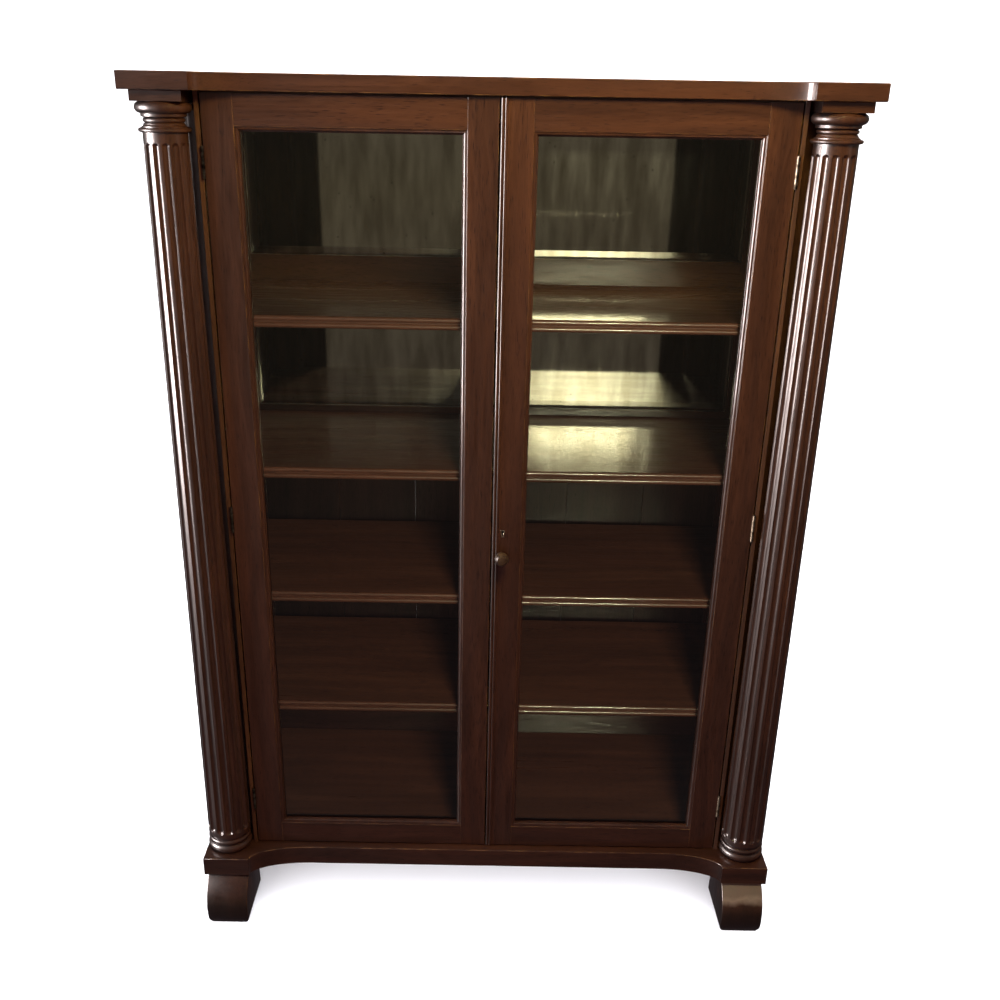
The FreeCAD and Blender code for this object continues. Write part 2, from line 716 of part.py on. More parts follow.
rebates = [rebate("upper_rebate", UPPER_MIRROR, "mirror_rebate", "mirror_setback"),
           rebate("lower_rebate", LOWER_MIRROR, "mirror_rebate", "mirror_setback"),
           rebate("board_rebate_room", BOARDS, "board_rebate", "board_setback")]
back_stiles = []
for side, sign in SIDES.items():
    stile = block(f"back_stile_board_{side}", across(sign, BAY, SIDE_IN), (BACK_FRONT, CASE_BACK), (BASE, CEILING))
    back_stiles.append(cut(f"back_stile_{side}", stile, rebates))
keep(group("back_stiles", back_stiles), "back_stiles")
rail_levels = {
    "top": (UPPER_MIRROR[1], CEILING),
    "middle": (LOWER_MIRROR[1], UPPER_MIRROR[0]),
    "lower": (BOARDS[1], LOWER_MIRROR[0]),
    "bottom": (BASE, BOARDS[0]),
}
back_rails = []
for name, height in rail_levels.items():
    rail = block(f"back_{name}_board", (f"-{BAY}", BAY), (BACK_FRONT, CASE_BACK), height)
    back_rails.append(cut(f"back_{name}_rail", rail, rebates))
keep(group("back_rails", back_rails), "back_rails")


def mirror(name, bay):
    """A plate with a wide bevel round its front, as large as its rebate."""
    wide = f"({BAY} + mirror_rebate)"
    front = f"({BACK_FRONT} + mirror_setback)"
    low = f"({bay[0]} - mirror_rebate)"
    high = f"({bay[1]} + mirror_rebate)"
    bevel = doc.addObject("Part::Wedge", name + "_bevel")
    edges = {"Xmin": f"-({wide} - mirror_bevel)", "Xmax": f"{wide} - mirror_bevel",
             "X2min": f"-{wide}", "X2max": wide, "Ymin": 0, "Ymax": "mirror_bevel_drop",
             "Zmin": f"{low} + mirror_bevel", "Zmax": f"{high} - mirror_bevel", "Z2min": low, "Z2max": high}
    for edge, text in edges.items():
        bevel.setExpression(edge, bound(text))
    place(bevel, (0, front, 0))
    plate = block(name + "_plate", (f"-{wide}", wide),
                  (f"{front} + mirror_bevel_drop", f"{front} + mirror_thick"), (low, high))
    keep(fuse(name, [bevel, plate]), name)
    start = f"({front} + mirror_thick)"
    return block(name + "_backing", (f"-{wide}", wide), (start, f"{start} + backing_thick"), (low, high))


backings = [mirror("mirror_upper", UPPER_MIRROR), mirror("mirror_lower", LOWER_MIRROR)]
keep(group("mirror_backing", backings), "mirror_backing")
board_width = f"(2 * ({BAY} + board_rebate) / board_count)"
boards = []
for index in range(int(number("board_count"))):
    start = f"({index} * {board_width} - {BAY} - board_rebate)"
    boards.append(block(f"back_board_{index + 1}",
                        (f"{start} + board_joint / 2", f"{start} + {board_width} - board_joint / 2"),
                        (f"{BACK_FRONT} + board_setback", f"{BACK_FRONT} + board_setback + board_thick"),
                        (f"{BOARDS[0]} - board_rebate", f"{BOARDS[1]} + board_rebate")))
keep(group("back_boards", boards), "back_boards")


# Lock: a cased lock let into the back of the right door's meeting stile, its bolt, the keyhole and its brass rim
def keyhole(name, rim, low, high):
    """A round hole with a slot below it, or its rim."""
    where = f"{LOCK_MIDDLE}"
    eye = rod(f"{name}_eye", ("keyhole_across", low, where), (0, 1, 0), f"keyhole_radius + {rim}",
              f"{high} - ({low})")
    slot = block(f"{name}_slot", (f"keyhole_across - keyhole_slot / 2 - {rim}",
                                  f"keyhole_across + keyhole_slot / 2 + {rim}"), (low, high),
                 (f"{where} - keyhole_drop - {rim}", where))
    return fuse(name, [eye, slot])


rim_front = f"({DOOR_FRONT} - escutcheon_proud)"
rim_back = f"({rim_front} + escutcheon_thick)"
rim = keyhole("rim_outline", "escutcheon_rim", rim_front, rim_back)
rim_room = keyhole("rim_room", "escutcheon_rim", f"{DOOR_FRONT} - overrun", rim_back)
key_way = keyhole("key_way", 0, f"{DOOR_FRONT} - overrun", f"{LOCK_FRONT} + overrun")
keep(cut("escutcheon", rim, [key_way]), "escutcheon")

lock_height = (f"{LOCK_MIDDLE} - lock_height / 2", f"{LOCK_MIDDLE} + lock_height / 2")
bolt_low = f"({LOCK_MIDDLE} - bolt_height / 2)"
bolt_front = f"(({LOCK_FRONT} + {DOOR_BACK}) / 2 - bolt_thick / 2)"
lock_block = block("lock_block", ("lock_margin", "lock_length"), (LOCK_FRONT, DOOR_BACK), lock_height)
bolt_room = block("bolt_room", ("-overrun", "lock_margin + bolt_length + bolt_play + overrun"),
                  (f"{bolt_front} - bolt_play", f"{bolt_front} + bolt_thick + bolt_play"),
                  (f"{bolt_low} - bolt_play", f"{bolt_low} + bolt_height + bolt_play"))
keep(cut("lock_case", lock_block, [bolt_room, key_way]), "lock_case")
keep(block("lock_bolt", ("lock_margin", "lock_margin + bolt_length"), (bolt_front, f"{bolt_front} + bolt_thick"),
           (bolt_low, f"{bolt_low} + bolt_height")), "lock_bolt")
lock_room = block("lock_room", ("-overrun", "lock_length"), (LOCK_FRONT, f"{DOOR_BACK} + overrun"), lock_height)
strike_room = block("strike_room", ("-meeting_gap - bolt_travel", "-meeting_gap + overrun"),
                    (f"{bolt_front} - strike_play", f"{bolt_front} + bolt_thick + strike_play"),
                    (f"{bolt_low} - strike_play", f"{bolt_low} + bolt_height + strike_play"))

# Knob: turned in wood, with a tenon glued into the stile
knob_round = "sqrt(knob_radius ^ 2 - knob_neck_radius ^ 2)"
knob_middle = f"(knob_tenon + knob_rose + knob_neck + {knob_round})"
knob = turned("knob", [
    (0, 0),
    ("knob_tenon_radius", 0),
    ("knob_tenon_radius", "knob_tenon"),
    ("knob_rose_radius", "knob_tenon"),
    ("knob_rose_radius", "knob_tenon + knob_rose / 2"),
    ("knob_neck_radius", "knob_tenon + knob_rose"),
    ("knob_neck_radius", "knob_tenon + knob_rose + knob_neck"),
    (0, f"{knob_middle} + knob_radius", 0, knob_middle, 1),
])
turn_to(knob, (0, -1, 0))
place(knob, ("knob_across", f"{DOOR_FRONT} + knob_tenon", f"{BASE} + knob_level"))
keep(knob, "knob")
knob_room = rod("knob_room", ("knob_across", f"{DOOR_FRONT} - overrun", f"{BASE} + knob_level"), (0, 1, 0),
                "knob_tenon_radius + knob_play", "overrun + knob_tenon + knob_play")


# Doors: stiles, rails, mitred sight moulding in front of the glass and glazing beads behind it
def sight_strip(name, length, turn, corner):
    """One side of the sight moulding, mitred at both ends, with a quarter round falling to the glass."""
    body = new_body(name)
    pad = body.newObject("PartDesign::Pad", name + "_pad")
    pad.Profile = outline(body, name + "_face", "XZ_Plane", [
        (0, 0),
        (length, 0),
        (f"{length} - moulding_width", "moulding_width"),
        ("moulding_width", "moulding_width"),
    ])
    pad.setExpression("Length", bound("glass_setback"))
    fall = "(moulding_width - 2 * moulding_fillet)"
    step = "(moulding_quirk + moulding_fillet)"
    round_cut = body.newObject("PartDesign::Pocket", name + "_round")
    round_cut.Profile = outline(body, name + "_section", "YZ_Plane", [
        ("-(glass_setback + overrun)", "-overrun"),
        ("-(glass_setback - moulding_quirk)", "-overrun"),
        ("-(glass_setback - moulding_quirk)", "moulding_fillet"),
        (f"-(glass_setback - {step})", "moulding_fillet"),
        (f"-(glass_setback - {step} - {fall})", f"moulding_fillet + {fall}",
         f"-(glass_setback - {step} - {fall})", "moulding_fillet", -1),
        (f"-(glass_setback - {step} - {fall})", "moulding_width + overrun"),
        ("-(glass_setback + overrun)", "moulding_width + overrun"),
    ])
    round_cut.Type = "ThroughAll"
    round_cut.Reversed = True
    body.Placement = FreeCAD.Placement(FreeCAD.Vector(), FreeCAD.Rotation(FreeCAD.Vector(0, 1, 0), turn))
    place(body, corner)
    return body


def door(side, sign):
    near = "0" if sign > 0 else "meeting_gap"
    stiles = {
        "hinge": (across(sign, SIGHT_OUT, DOOR_EDGE), stile_holes[side]),
        "meeting": (across(sign, near, "meeting_reach"),
                    [lock_room, key_way, rim_room, knob_room] if sign > 0 else [strike_room]),
    }
    for name, (wide, holes) in stiles.items():
        stile = block(f"{name}_stile_board_{side}", wide, (DOOR_FRONT, DOOR_BACK), (DOOR_LOW, DOOR_HIGH))
        keep(cut(f"{side}_door_{name}_stile", stile, holes), f"{side}_door_{name}_stile")
    wide = across(sign, "meeting_reach", SIGHT_OUT)
    rails = [block(f"{side}_door_top_rail", wide, (DOOR_FRONT, DOOR_BACK), (SIGHT_HIGH, DOOR_HIGH)),
             block(f"{side}_door_bottom_rail", wide, (DOOR_FRONT, DOOR_BACK), (DOOR_LOW, SIGHT_LOW))]
    keep(group(f"{side}_door_rails", rails), f"{side}_door_rails")

    width = f"({SIGHT_OUT} - meeting_reach)"
    height = f"({SIGHT_HIGH} - {SIGHT_LOW})"
    corners = [(width, 0, (wide[0], GLASS_FRONT, SIGHT_LOW)), (height, -90, (wide[1], GLASS_FRONT, SIGHT_LOW)),
               (width, 180, (wide[1], GLASS_FRONT, SIGHT_HIGH)), (height, 90, (wide[0], GLASS_FRONT, SIGHT_HIGH))]
    strips = [sight_strip(f"{side}_moulding_{index}", *corner) for index, corner in enumerate(corners, start=1)]
    keep(group(f"{side}_door_sight_moulding", strips), f"{side}_door_sight_moulding")

    keep(block(f"{side}_door_glass", (f"{wide[0]} + glass_play", f"{wide[1]} - glass_play"),
               (GLASS_FRONT, GLASS_BACK), (f"{SIGHT_LOW} + glass_play", f"{SIGHT_HIGH} - glass_play")),
         f"{side}_door_glass")
    deep = (GLASS_BACK, f"{GLASS_BACK} + glazing_depth")
    tall = (f"{SIGHT_LOW} + glazing_width", f"{SIGHT_HIGH} - glazing_width")
    beads = [block(f"{side}_glazing_1", wide, deep, (SIGHT_LOW, tall[0])),
             block(f"{side}_glazing_2", wide, deep, (tall[1], SIGHT_HIGH)),
             block(f"{side}_glazing_3", (wide[0], f"{wide[0]} + glazing_width"), deep, tall),
             block(f"{side}_glazing_4", (f"{wide[1]} - glazing_width", wide[1]), deep, tall)]
    keep(group(f"{side}_door_glazing_beads", beads), f"{side}_door_glazing_beads")


for side, sign in SIDES.items():
    door(side, sign)

# The double bead planted along the right door's meeting edge
bead = "(strip_width / 4)"
strip = run("meeting_bead", "XY_Plane", [
    (0, "strip_proud"),
    (0, bead),
    (f"2 * {bead}", bead, bead, bead, 1),
    ("strip_width", bead, f"3 * {bead}", bead, 1),
    ("strip_width", "strip_proud"),
], f"{DOOR_HIGH} - {DOOR_LOW}")
place(strip, (0, f"{DOOR_FRONT} - strip_proud", DOOR_LOW))
keep(strip, "meeting_bead")

# Shoot bolt: a plate with two keepers at the back of the left door's meeting stile, and the bolt that runs in them
plate_high = f"({RAIL_LOW} - shoot_plate_drop)"
plate_low = f"({plate_high} - shoot_plate_length)"
plate = block("shoot_plate_sheet", (f"{SHOOT_X} - shoot_plate_width / 2", f"{SHOOT_X} + shoot_plate_width / 2"),
              (DOOR_BACK, f"{DOOR_BACK} + shoot_plate_thick"), (plate_low, plate_high))
keepers = [block(f"keeper_{name}", (f"{SHOOT_X} - keeper_width / 2", f"{SHOOT_X} + keeper_width / 2"),
                 (DOOR_BACK, f"{SHOOT_Y} + shoot_radius + keeper_wall"), (low, f"{low} + keeper_height"))
           for name, low in (("low", f"({plate_low} + keeper_inset)"),
                             ("high", f"({plate_high} - keeper_inset - keeper_height)"))]
shoot_start = f"({RAIL_LOW} - shoot_drop - shoot_length)"
shoot_bore = rod("shoot_bore", (SHOOT_X, SHOOT_Y, f"{plate_low} - overrun"), (0, 0, 1), "shoot_radius + shoot_play",
                 "shoot_plate_length + 2 * overrun")
keep(cut("shoot_bolt_plate", fuse("shoot_metal", [plate, *keepers]), [shoot_bore]), "shoot_bolt_plate")
shoot = rod("shoot_rod", (SHOOT_X, SHOOT_Y, shoot_start), (0, 0, 1), "shoot_radius", "shoot_length")
thumb = rod("shoot_thumb", (SHOOT_X, SHOOT_Y, f"{RAIL_LOW} - thumb_drop"), (0, 1, 0), "thumb_radius", "thumb_length")
keep(fuse("shoot_bolt", [shoot, thumb]), "shoot_bolt")

doc.recompute()
for made in doc.Objects:
    if "Invalid" in made.State or "Error" in made.State:
        raise RuntimeError(f"{made.Name} failed: {made.State}")
for made in PARTS:
    if made.Shape.isNull() or not made.Shape.isValid():
        raise RuntimeError(f"{made.Label} has no sound shape")
os.makedirs("parts", exist_ok=True)
for made in PARTS:
    made.Shape.exportStep(f"parts/{made.Label}.step")
    print(made.Label, len(made.Shape.Solids), round(made.Shape.Volume))
print(len(PARTS), "pieces")
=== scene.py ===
# %% [markdown]
# # A mahogany display cabinet
# The cabinet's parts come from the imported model, each at its true place in metres. This lesson dresses
# them: the wood gets its soft arrises and its polish, the columns get their flutes, and the mirrors and the
# glass get their looks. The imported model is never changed. A piece that is made here stands in for its
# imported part, which is then hidden.

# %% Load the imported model
import bmesh
import bpy
import json
import math
import random
from mathutils import Matrix, Vector

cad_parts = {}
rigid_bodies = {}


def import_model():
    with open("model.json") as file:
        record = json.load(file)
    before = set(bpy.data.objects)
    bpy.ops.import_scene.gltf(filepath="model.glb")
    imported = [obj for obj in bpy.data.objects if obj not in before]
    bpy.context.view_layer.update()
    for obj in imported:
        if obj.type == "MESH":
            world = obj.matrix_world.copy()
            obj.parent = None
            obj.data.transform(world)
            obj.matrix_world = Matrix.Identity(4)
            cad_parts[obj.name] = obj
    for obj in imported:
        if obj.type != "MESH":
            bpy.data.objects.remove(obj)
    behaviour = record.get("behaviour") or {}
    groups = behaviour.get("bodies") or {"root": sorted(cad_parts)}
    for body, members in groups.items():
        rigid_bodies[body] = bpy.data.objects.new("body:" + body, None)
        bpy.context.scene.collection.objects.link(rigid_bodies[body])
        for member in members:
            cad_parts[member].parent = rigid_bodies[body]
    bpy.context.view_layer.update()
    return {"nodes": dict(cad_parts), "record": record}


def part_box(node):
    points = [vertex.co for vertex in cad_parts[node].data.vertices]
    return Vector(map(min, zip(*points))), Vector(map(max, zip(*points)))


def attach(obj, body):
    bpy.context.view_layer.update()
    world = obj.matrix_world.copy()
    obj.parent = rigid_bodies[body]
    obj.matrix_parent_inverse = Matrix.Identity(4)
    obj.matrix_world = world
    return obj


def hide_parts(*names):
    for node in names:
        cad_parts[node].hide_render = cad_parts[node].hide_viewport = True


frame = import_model()

# %% [markdown]
# ## The camera
# The photograph was taken from about the height of the cabinet's top, a little left of its middle, looking
# down. The place and the angles were worked out from the corners of the top, the plinth and the doors. A
# small shift of the lens puts the cabinet where it is in the picture.

# %% Set up the camera
MM = 0.001
pitch, yaw, roll = math.radians(23.15), math.radians(-0.03), math.radians(-0.99)
look = Vector((math.sin(yaw) * math.cos(pitch), math.cos(yaw) * math.cos(pitch), -math.sin(pitch)))
level = Vector((math.cos(yaw), -math.sin(yaw), 0))
down = look.cross(level)
across = level * math.cos(roll) + down * math.sin(roll)
below = -level * math.sin(roll) + down * math.cos(roll)
lens = bpy.data.cameras.new("photograph")
lens.sensor_width = 36
lens.lens = 38.58
lens.shift_x, lens.shift_y = 0.0189, 0.0536
camera = bpy.data.objects.new("photograph", lens)
camera.matrix_world = Matrix((across, -below, -look)).transposed().to_4x4()
camera.location = (-19.5 * MM, -2077.5 * MM, 1652.1 * MM)
bpy.context.scene.collection.objects.link(camera)
bpy.context.scene.camera = camera
print("camera", [round(x, 3) for x in camera.location])

# %% [markdown]
# ## The room
# A pale floor runs up behind the cabinet in one soft bend, as paper does in a studio. Polished wood shows
# what is in front of it, so the floor is kept out of reflections, and the wood mirrors surroundings that
# are dim and brown. The camera itself sees plain white beyond the paper's edge.

# %% A small function for nodes, and one for colours
def add(tree, kind, settings=None, sockets=()):
    """Adds a node. A socket gets a value, or is linked to an output, or to another node's first output."""
    node = tree.nodes.new(kind)
    for name, value in (settings or {}).items():
        setattr(node, name, value)
    for name, value in sockets.items() if isinstance(sockets, dict) else enumerate(sockets):
        if isinstance(value, bpy.types.Node):
            value = value.outputs[0]
        if isinstance(value, bpy.types.NodeSocket):
            tree.links.new(value, node.inputs[name])
        else:
            node.inputs[name].default_value = value
    return node


def paint(code):
    """A colour written in hexadecimal, as the linear colour that a shader wants."""
    parts = [int(code[at:at + 2], 16) / 255 for at in (1, 3, 5)]
    return [part / 12.92 if part <= 0.04045 else ((part + 0.055) / 1.055) ** 2.4 for part in parts] + [1]


def ramp(node, stops):
    """Sets the stops of a colour ramp: pairs of a place and a colour."""
    band = node.color_ramp
    while len(band.elements) < len(stops):
        band.elements.new(0.5)
    for element, (place, colour) in zip(band.elements, stops):
        element.position, element.color = place, paint(colour)
    return node.outputs["Color"]


# %% Floor and backdrop in one sheet
def bare_material(name):
    """A new material with an empty tree that ends in its output."""
    made = bpy.data.materials.new(name)
    made.use_nodes = True
    made.node_tree.nodes.clear()
    return made, made.node_tree, add(made.node_tree, "ShaderNodeOutputMaterial")


paper, tree, end = bare_material("matt_studio_paper")
cloud = add(tree, "ShaderNodeTexNoise", sockets={"Scale": 3.0, "Detail": 2.0})
tone = ramp(add(tree, "ShaderNodeValToRGB", sockets={"Fac": cloud}), [(0.3, "#eff0f6"), (0.7, "#f3f4fa")])
matt = add(tree, "ShaderNodeBsdfDiffuse", sockets={"Color": tone, "Roughness": 0.5})
tree.links.new(matt.outputs[0], end.inputs["Surface"])

bend_start, bend = 1.6, 0.9
line = [(-8.0, 0.0), (bend_start, 0.0)]
for n in range(1, 16):
    turn = math.radians(6 * n)
    line.append((bend_start + bend * math.sin(turn), bend - bend * math.cos(turn)))
line.append((bend_start + bend, 4.2))
sheet = bpy.data.meshes.new("studio_paper")
sheet.from_pydata([(x, y, z) for y, z in line for x in (-9.0, 9.0)], [],
                  [(2 * n, 2 * n + 1, 2 * n + 3, 2 * n + 2) for n in range(len(line) - 1)])
sheet.shade_smooth()
sheet.materials.append(paper)
studio = bpy.data.objects.new("studio_paper", sheet)
studio.visible_glossy = False
studio.visible_diffuse = False
bpy.context.scene.collection.objects.link(studio)
print("paper from y", line[0][0], "to", line[-1][0])

# %% Surroundings that the polish reflects
world = bpy.data.worlds.new("soft_room")
world.use_nodes = True
tree = world.node_tree
tree.nodes.clear()
where = add(tree, "ShaderNodeTexCoord").outputs["Generated"]
height = add(tree, "ShaderNodeSeparateXYZ", sockets={"Vector": where})
rise = add(tree, "ShaderNodeMapRange",
           sockets={"Value": height.outputs["Z"], "From Min": -0.75, "From Max": 0.75})
sky = ramp(add(tree, "ShaderNodeValToRGB", sockets={"Fac": rise}),
           [(0.0, "#52484b"), (0.22, "#564c4e"), (0.45, "#746857"), (0.6, "#776e67"), (1.0, "#85817b")])
glow = add(tree, "ShaderNodeBackground", sockets={"Color": sky, "Strength": 0.75})
plain = add(tree, "ShaderNodeBackground", sockets={"Color": paint("#ffffff"), "Strength": 1.2})
ray = add(tree, "ShaderNodeLightPath")
seen = add(tree, "ShaderNodeMixShader", sockets=(ray.outputs["Is Camera Ray"], glow, plain))
add(tree, "ShaderNodeOutputWorld", sockets={"Surface": seen})
bpy.context.scene.world = world

# %% [markdown]
# ## The lights
# The turned rings and the flutes of the real cabinet carry bright lines left of their middles, so the main
# light is a tall soft window at the left. The doors are warmest at the top, so a warm lamp hangs above
# them, and a broad pink one behind the camera fills the rest. A small far window is what the two upper
# shelves mirror. A ceiling light and weak lights at the right and the back open the shadows, and two wide
# ones keep the paper evenly white. Only the windows and the right-hand fill show in the polish.

# %% Set up the lights
def lamp(name, place, aim, size, watts, colour):
    """A rectangular soft light that looks at a point."""
    light = bpy.data.lights.new(name, "AREA")
    light.shape = "RECTANGLE"
    light.size, light.size_y = size
    light.energy = watts
    light.color = paint(colour)[:3]
    made = bpy.data.objects.new(name, light)
    made.location = place
    made.rotation_euler = (Vector(aim) - Vector(place)).to_track_quat("-Z", "Y").to_euler()
    made.visible_camera = False
    bpy.context.scene.collection.objects.link(made)
    return made


window = lamp("left_window", (-3.45, -1.25, 1.2), (-0.5, -0.2, 1.2), (1.7, 2.2), 640, "#fff0ed")
window.visible_diffuse = False
glow = lamp("left_glow", (-2.6, -1.6, 2.0), (0.0, -0.2, 1.0), (1.4, 1.8), 12, "#ffeeea")
glow.visible_glossy = False
warm = lamp("warm_lamp", (0.24, -0.95, 2.15), (0.16, -0.15, 1.2), (0.5, 0.3), 43, "#ebf8a0")
warm.visible_glossy = False
above = lamp("ceiling", (0.0, 0.1, 3.7), (0.0, 0.3, 0.0), (4.0, 3.4), 75, "#fdfdff")
above.visible_glossy = False
lamp("right_fill", (2.9, -1.4, 1.6), (0.0, 0.0, 0.9), (0.9, 1.8), 2, "#fffaf4")
distant = lamp("far_window", (0.44, -2.39, 1.84), (0.3, 0.2, 1.2), (0.5, 0.12), 85, "#fff4cc")
rear = lamp("back_light", (0.0, 1.2, 3.6), (0.0, 2.4, 0.6), (5.0, 1.2), 150, "#ffffff")
rear.visible_glossy = False
floor_light = lamp("paper_light", (0.0, -1.5, 7.0), (0.0, -1.5, 0.0), (16.0, 16.0), 2300, "#ffffff")
wall_light = lamp("backdrop_light", (0.0, -7.0, 3.0), (0.0, 2.5, 2.0), (16.0, 5.0), 1300, "#ffffff")
side_lights = []
for side, sign in (("left", -1), ("right", 1)):
    light = lamp(f"{side}_side_light", (sign * 2.9, 0.4, 1.5), (sign * 0.6, 0.05, 0.8), (1.6, 2.0), 60,
                 "#fff0e8")
    light.visible_glossy = False
    side_lights.append(light)
soft = lamp("front_fill", (0.0, -3.2, 0.75), (0.0, 0.0, 0.45), (3.0, 1.8), 28, "#ffccc2")
soft.visible_glossy = False
bpy.context.scene.view_settings.view_transform = "Standard"

# %% [markdown]
# ## French-polished mahogany
# Mahogany is a red-brown wood with ribbon-like bands, fine darker streaks and short open pores, all along
# the grain. French polish is shellac rubbed on in many thin coats: it is glossy, thin and a little uneven,
# and the arrises wear through it first. Near the floor the wood is painted darker, a painted shade. The
# front of the right foot is painted pale above a ragged line: a worn strip at the line, and above it wear
# and a painted highlight where its rounded top faces the light. The shelves' front beads are painted gold,
# a painted highlight where they catch a warm light. One function makes the wood, with the grain along any
# axis, so stiles and rails differ as they do in the real frame.

# %% Make the woods
def mahogany(name, grain, colours, gloss, polish, mist=0.12, scuffs=0.12, kicked_and_highlit=False):
    """Mahogany with its grain along X, Y or Z: bands 24 mm wide, streaks 3.5 mm, pores 1 mm."""
    made, tree, end = bare_material(name)
    run = {"X": (0.05, 1, 1), "Y": (1, 0.05, 1), "Z": (1, 1, 0.05)}[grain]
    where = add(tree, "ShaderNodeTexCoord").outputs["Object"]
    board = add(tree, "ShaderNodeAttribute", {"attribute_name": "board"})
    apart = add(tree, "ShaderNodeVectorMath", {"operation": "MULTIPLY_ADD"},
                (board.outputs["Vector"], (3.1, 4.7, 2.3), where))
    drawn = add(tree, "ShaderNodeMapping", sockets={"Vector": apart, "Scale": run})
    sway = add(tree, "ShaderNodeTexNoise", sockets={"Vector": apart, "Scale": 2.2, "Detail": 1.0})
    bent = add(tree, "ShaderNodeVectorMath", {"operation": "MULTIPLY_ADD"},
               (sway.outputs["Color"], (0.05, 0.05, 0.05), drawn))
    bands = add(tree, "ShaderNodeTexNoise", sockets={"Vector": bent, "Scale": 1 / (24 * MM), "Detail": 2.0})
    streaks = add(tree, "ShaderNodeTexNoise",
                  sockets={"Vector": bent, "Scale": 1 / (3.5 * MM), "Detail": 4.0, "Roughness": 0.6})
    mixed = add(tree, "ShaderNodeMath", {"operation": "MULTIPLY"}, (bands, 0.62))
    mixed = add(tree, "ShaderNodeMath", {"operation": "MULTIPLY_ADD"}, (streaks, 0.38, mixed))
    wood = ramp(add(tree, "ShaderNodeValToRGB", sockets={"Fac": mixed}),
                [(0.33, colours[0]), (0.5, colours[1]), (0.68, colours[2])])
    pores = add(tree, "ShaderNodeTexNoise", sockets={"Vector": drawn, "Scale": 1 / MM, "Detail": 1.0})
    dots = add(tree, "ShaderNodeMapRange", sockets={"Value": pores, "From Min": 0.62, "From Max": 0.7})
    wood = add(tree, "ShaderNodeMix", {"data_type": "RGBA", "blend_type": "MULTIPLY"},
               {"Factor": dots, 6: wood, 7: paint("#8a7a74")})
    arris = add(tree, "ShaderNodeAttribute", {"attribute_name": "arris"})
    patchy = add(tree, "ShaderNodeTexNoise",
                 sockets={"Vector": where, "Scale": 1 / (30 * MM), "Detail": 4.0})
    place = add(tree, "ShaderNodeSeparateXYZ", sockets={"Vector": where})
    # The kicked foot: above a ragged line its front is painted pale. There is a worn strip at the line, and
    # above it wear and a painted highlight where the rounded top faces the light.
    if kicked_and_highlit:
        ragged = add(tree, "ShaderNodeMath", {"operation": "MULTIPLY_ADD"},
                     (patchy, 22 * MM, place.outputs["Z"]))
        rubbed_and_highlit = add(tree, "ShaderNodeMapRange",
                     sockets={"Value": ragged, "From Min": 82 * MM, "From Max": 132 * MM})
        rubbed_and_highlit = ramp(add(tree, "ShaderNodeValToRGB", sockets={"Fac": rubbed_and_highlit}),
                      [(0.0, "#000000"), (0.24, "#cccccc"), (0.4, "#a4a4a4"), (1.0, "#969696")])
    else:
        rubbed_and_highlit = add(tree, "ShaderNodeMapRange",
                     sockets={"Value": patchy, "From Min": 0.42, "From Max": 0.66})
    # Pale on worn arrises, and on the kicked foot's front, where the pale is also a painted highlight.
    worn_and_highlit = add(tree, "ShaderNodeMath", {"operation": "MULTIPLY"}, (arris.outputs["Fac"], rubbed_and_highlit))
    worn_and_highlit = add(tree, "ShaderNodeMath", {"operation": "MULTIPLY"}, (worn_and_highlit, 0.4))
    wood = add(tree, "ShaderNodeMix", {"data_type": "RGBA"},
               {"Factor": worn_and_highlit, 6: wood.outputs[2], 7: paint("#887270" if kicked_and_highlit else "#7c5034")})
    smears = add(tree, "ShaderNodeTexNoise",
                 sockets={"Vector": bent, "Scale": 1 / (45 * MM), "Detail": 4.0})
    rough = add(tree, "ShaderNodeMapRange", sockets={"Value": smears, "From Min": 0.3, "From Max": 0.75,
                                                    "To Min": gloss, "To Max": gloss + scuffs})
    drag = add(tree, "ShaderNodeMath", {"operation": "SUBTRACT"}, (streaks, 0.5))
    rough = add(tree, "ShaderNodeMath", {"operation": "MULTIPLY_ADD"}, (drag, 2 * scuffs, rough))
    rough = add(tree, "ShaderNodeMath", {"operation": "MULTIPLY_ADD"}, (worn_and_highlit, 0.25, rough))
    grooves = add(tree, "ShaderNodeMath", {"operation": "SUBTRACT"}, (streaks, dots))
    relief = add(tree, "ShaderNodeBump",
                 sockets={"Height": grooves, "Strength": 0.12, "Distance": 0.15 * MM})
    # Painted shade: below 76 mm the wood darkens towards #130b08, reaching 70 per cent at 50 mm and lower.
    painted_floor_shade = add(tree, "ShaderNodeMapRange", sockets={"Value": place.outputs["Z"], "From Min": 76 * MM,
                                                    "From Max": 50 * MM, "To Max": 0.7})
    wood = add(tree, "ShaderNodeMix", {"data_type": "RGBA"},
               {"Factor": painted_floor_shade, 6: wood.outputs[2], 7: paint("#130b08")})
    coat = add(tree, "ShaderNodeMapRange", sockets={"Value": streaks, "From Min": 0.4, "From Max": 0.5,
                                                    "To Min": polish * (1 - 4 * scuffs), "To Max": polish})
    body = add(tree, "ShaderNodeBsdfPrincipled",
               sockets={"Base Color": wood.outputs[2], "Roughness": rough, "IOR": 1.5,
                        "Specular IOR Level": 0.25, "Coat Weight": coat, "Coat Roughness": mist,
                        "Coat IOR": 1.5, "Normal": relief})
    tree.links.new(body.outputs[0], end.inputs["Surface"])
    return made


OUTER = ("#25100c", "#2f1611", "#3b1d16")
POSTS = ("#2f1811", "#3b2017", "#49291d")
INNER = ("#3a2018", "#45271e", "#523026")
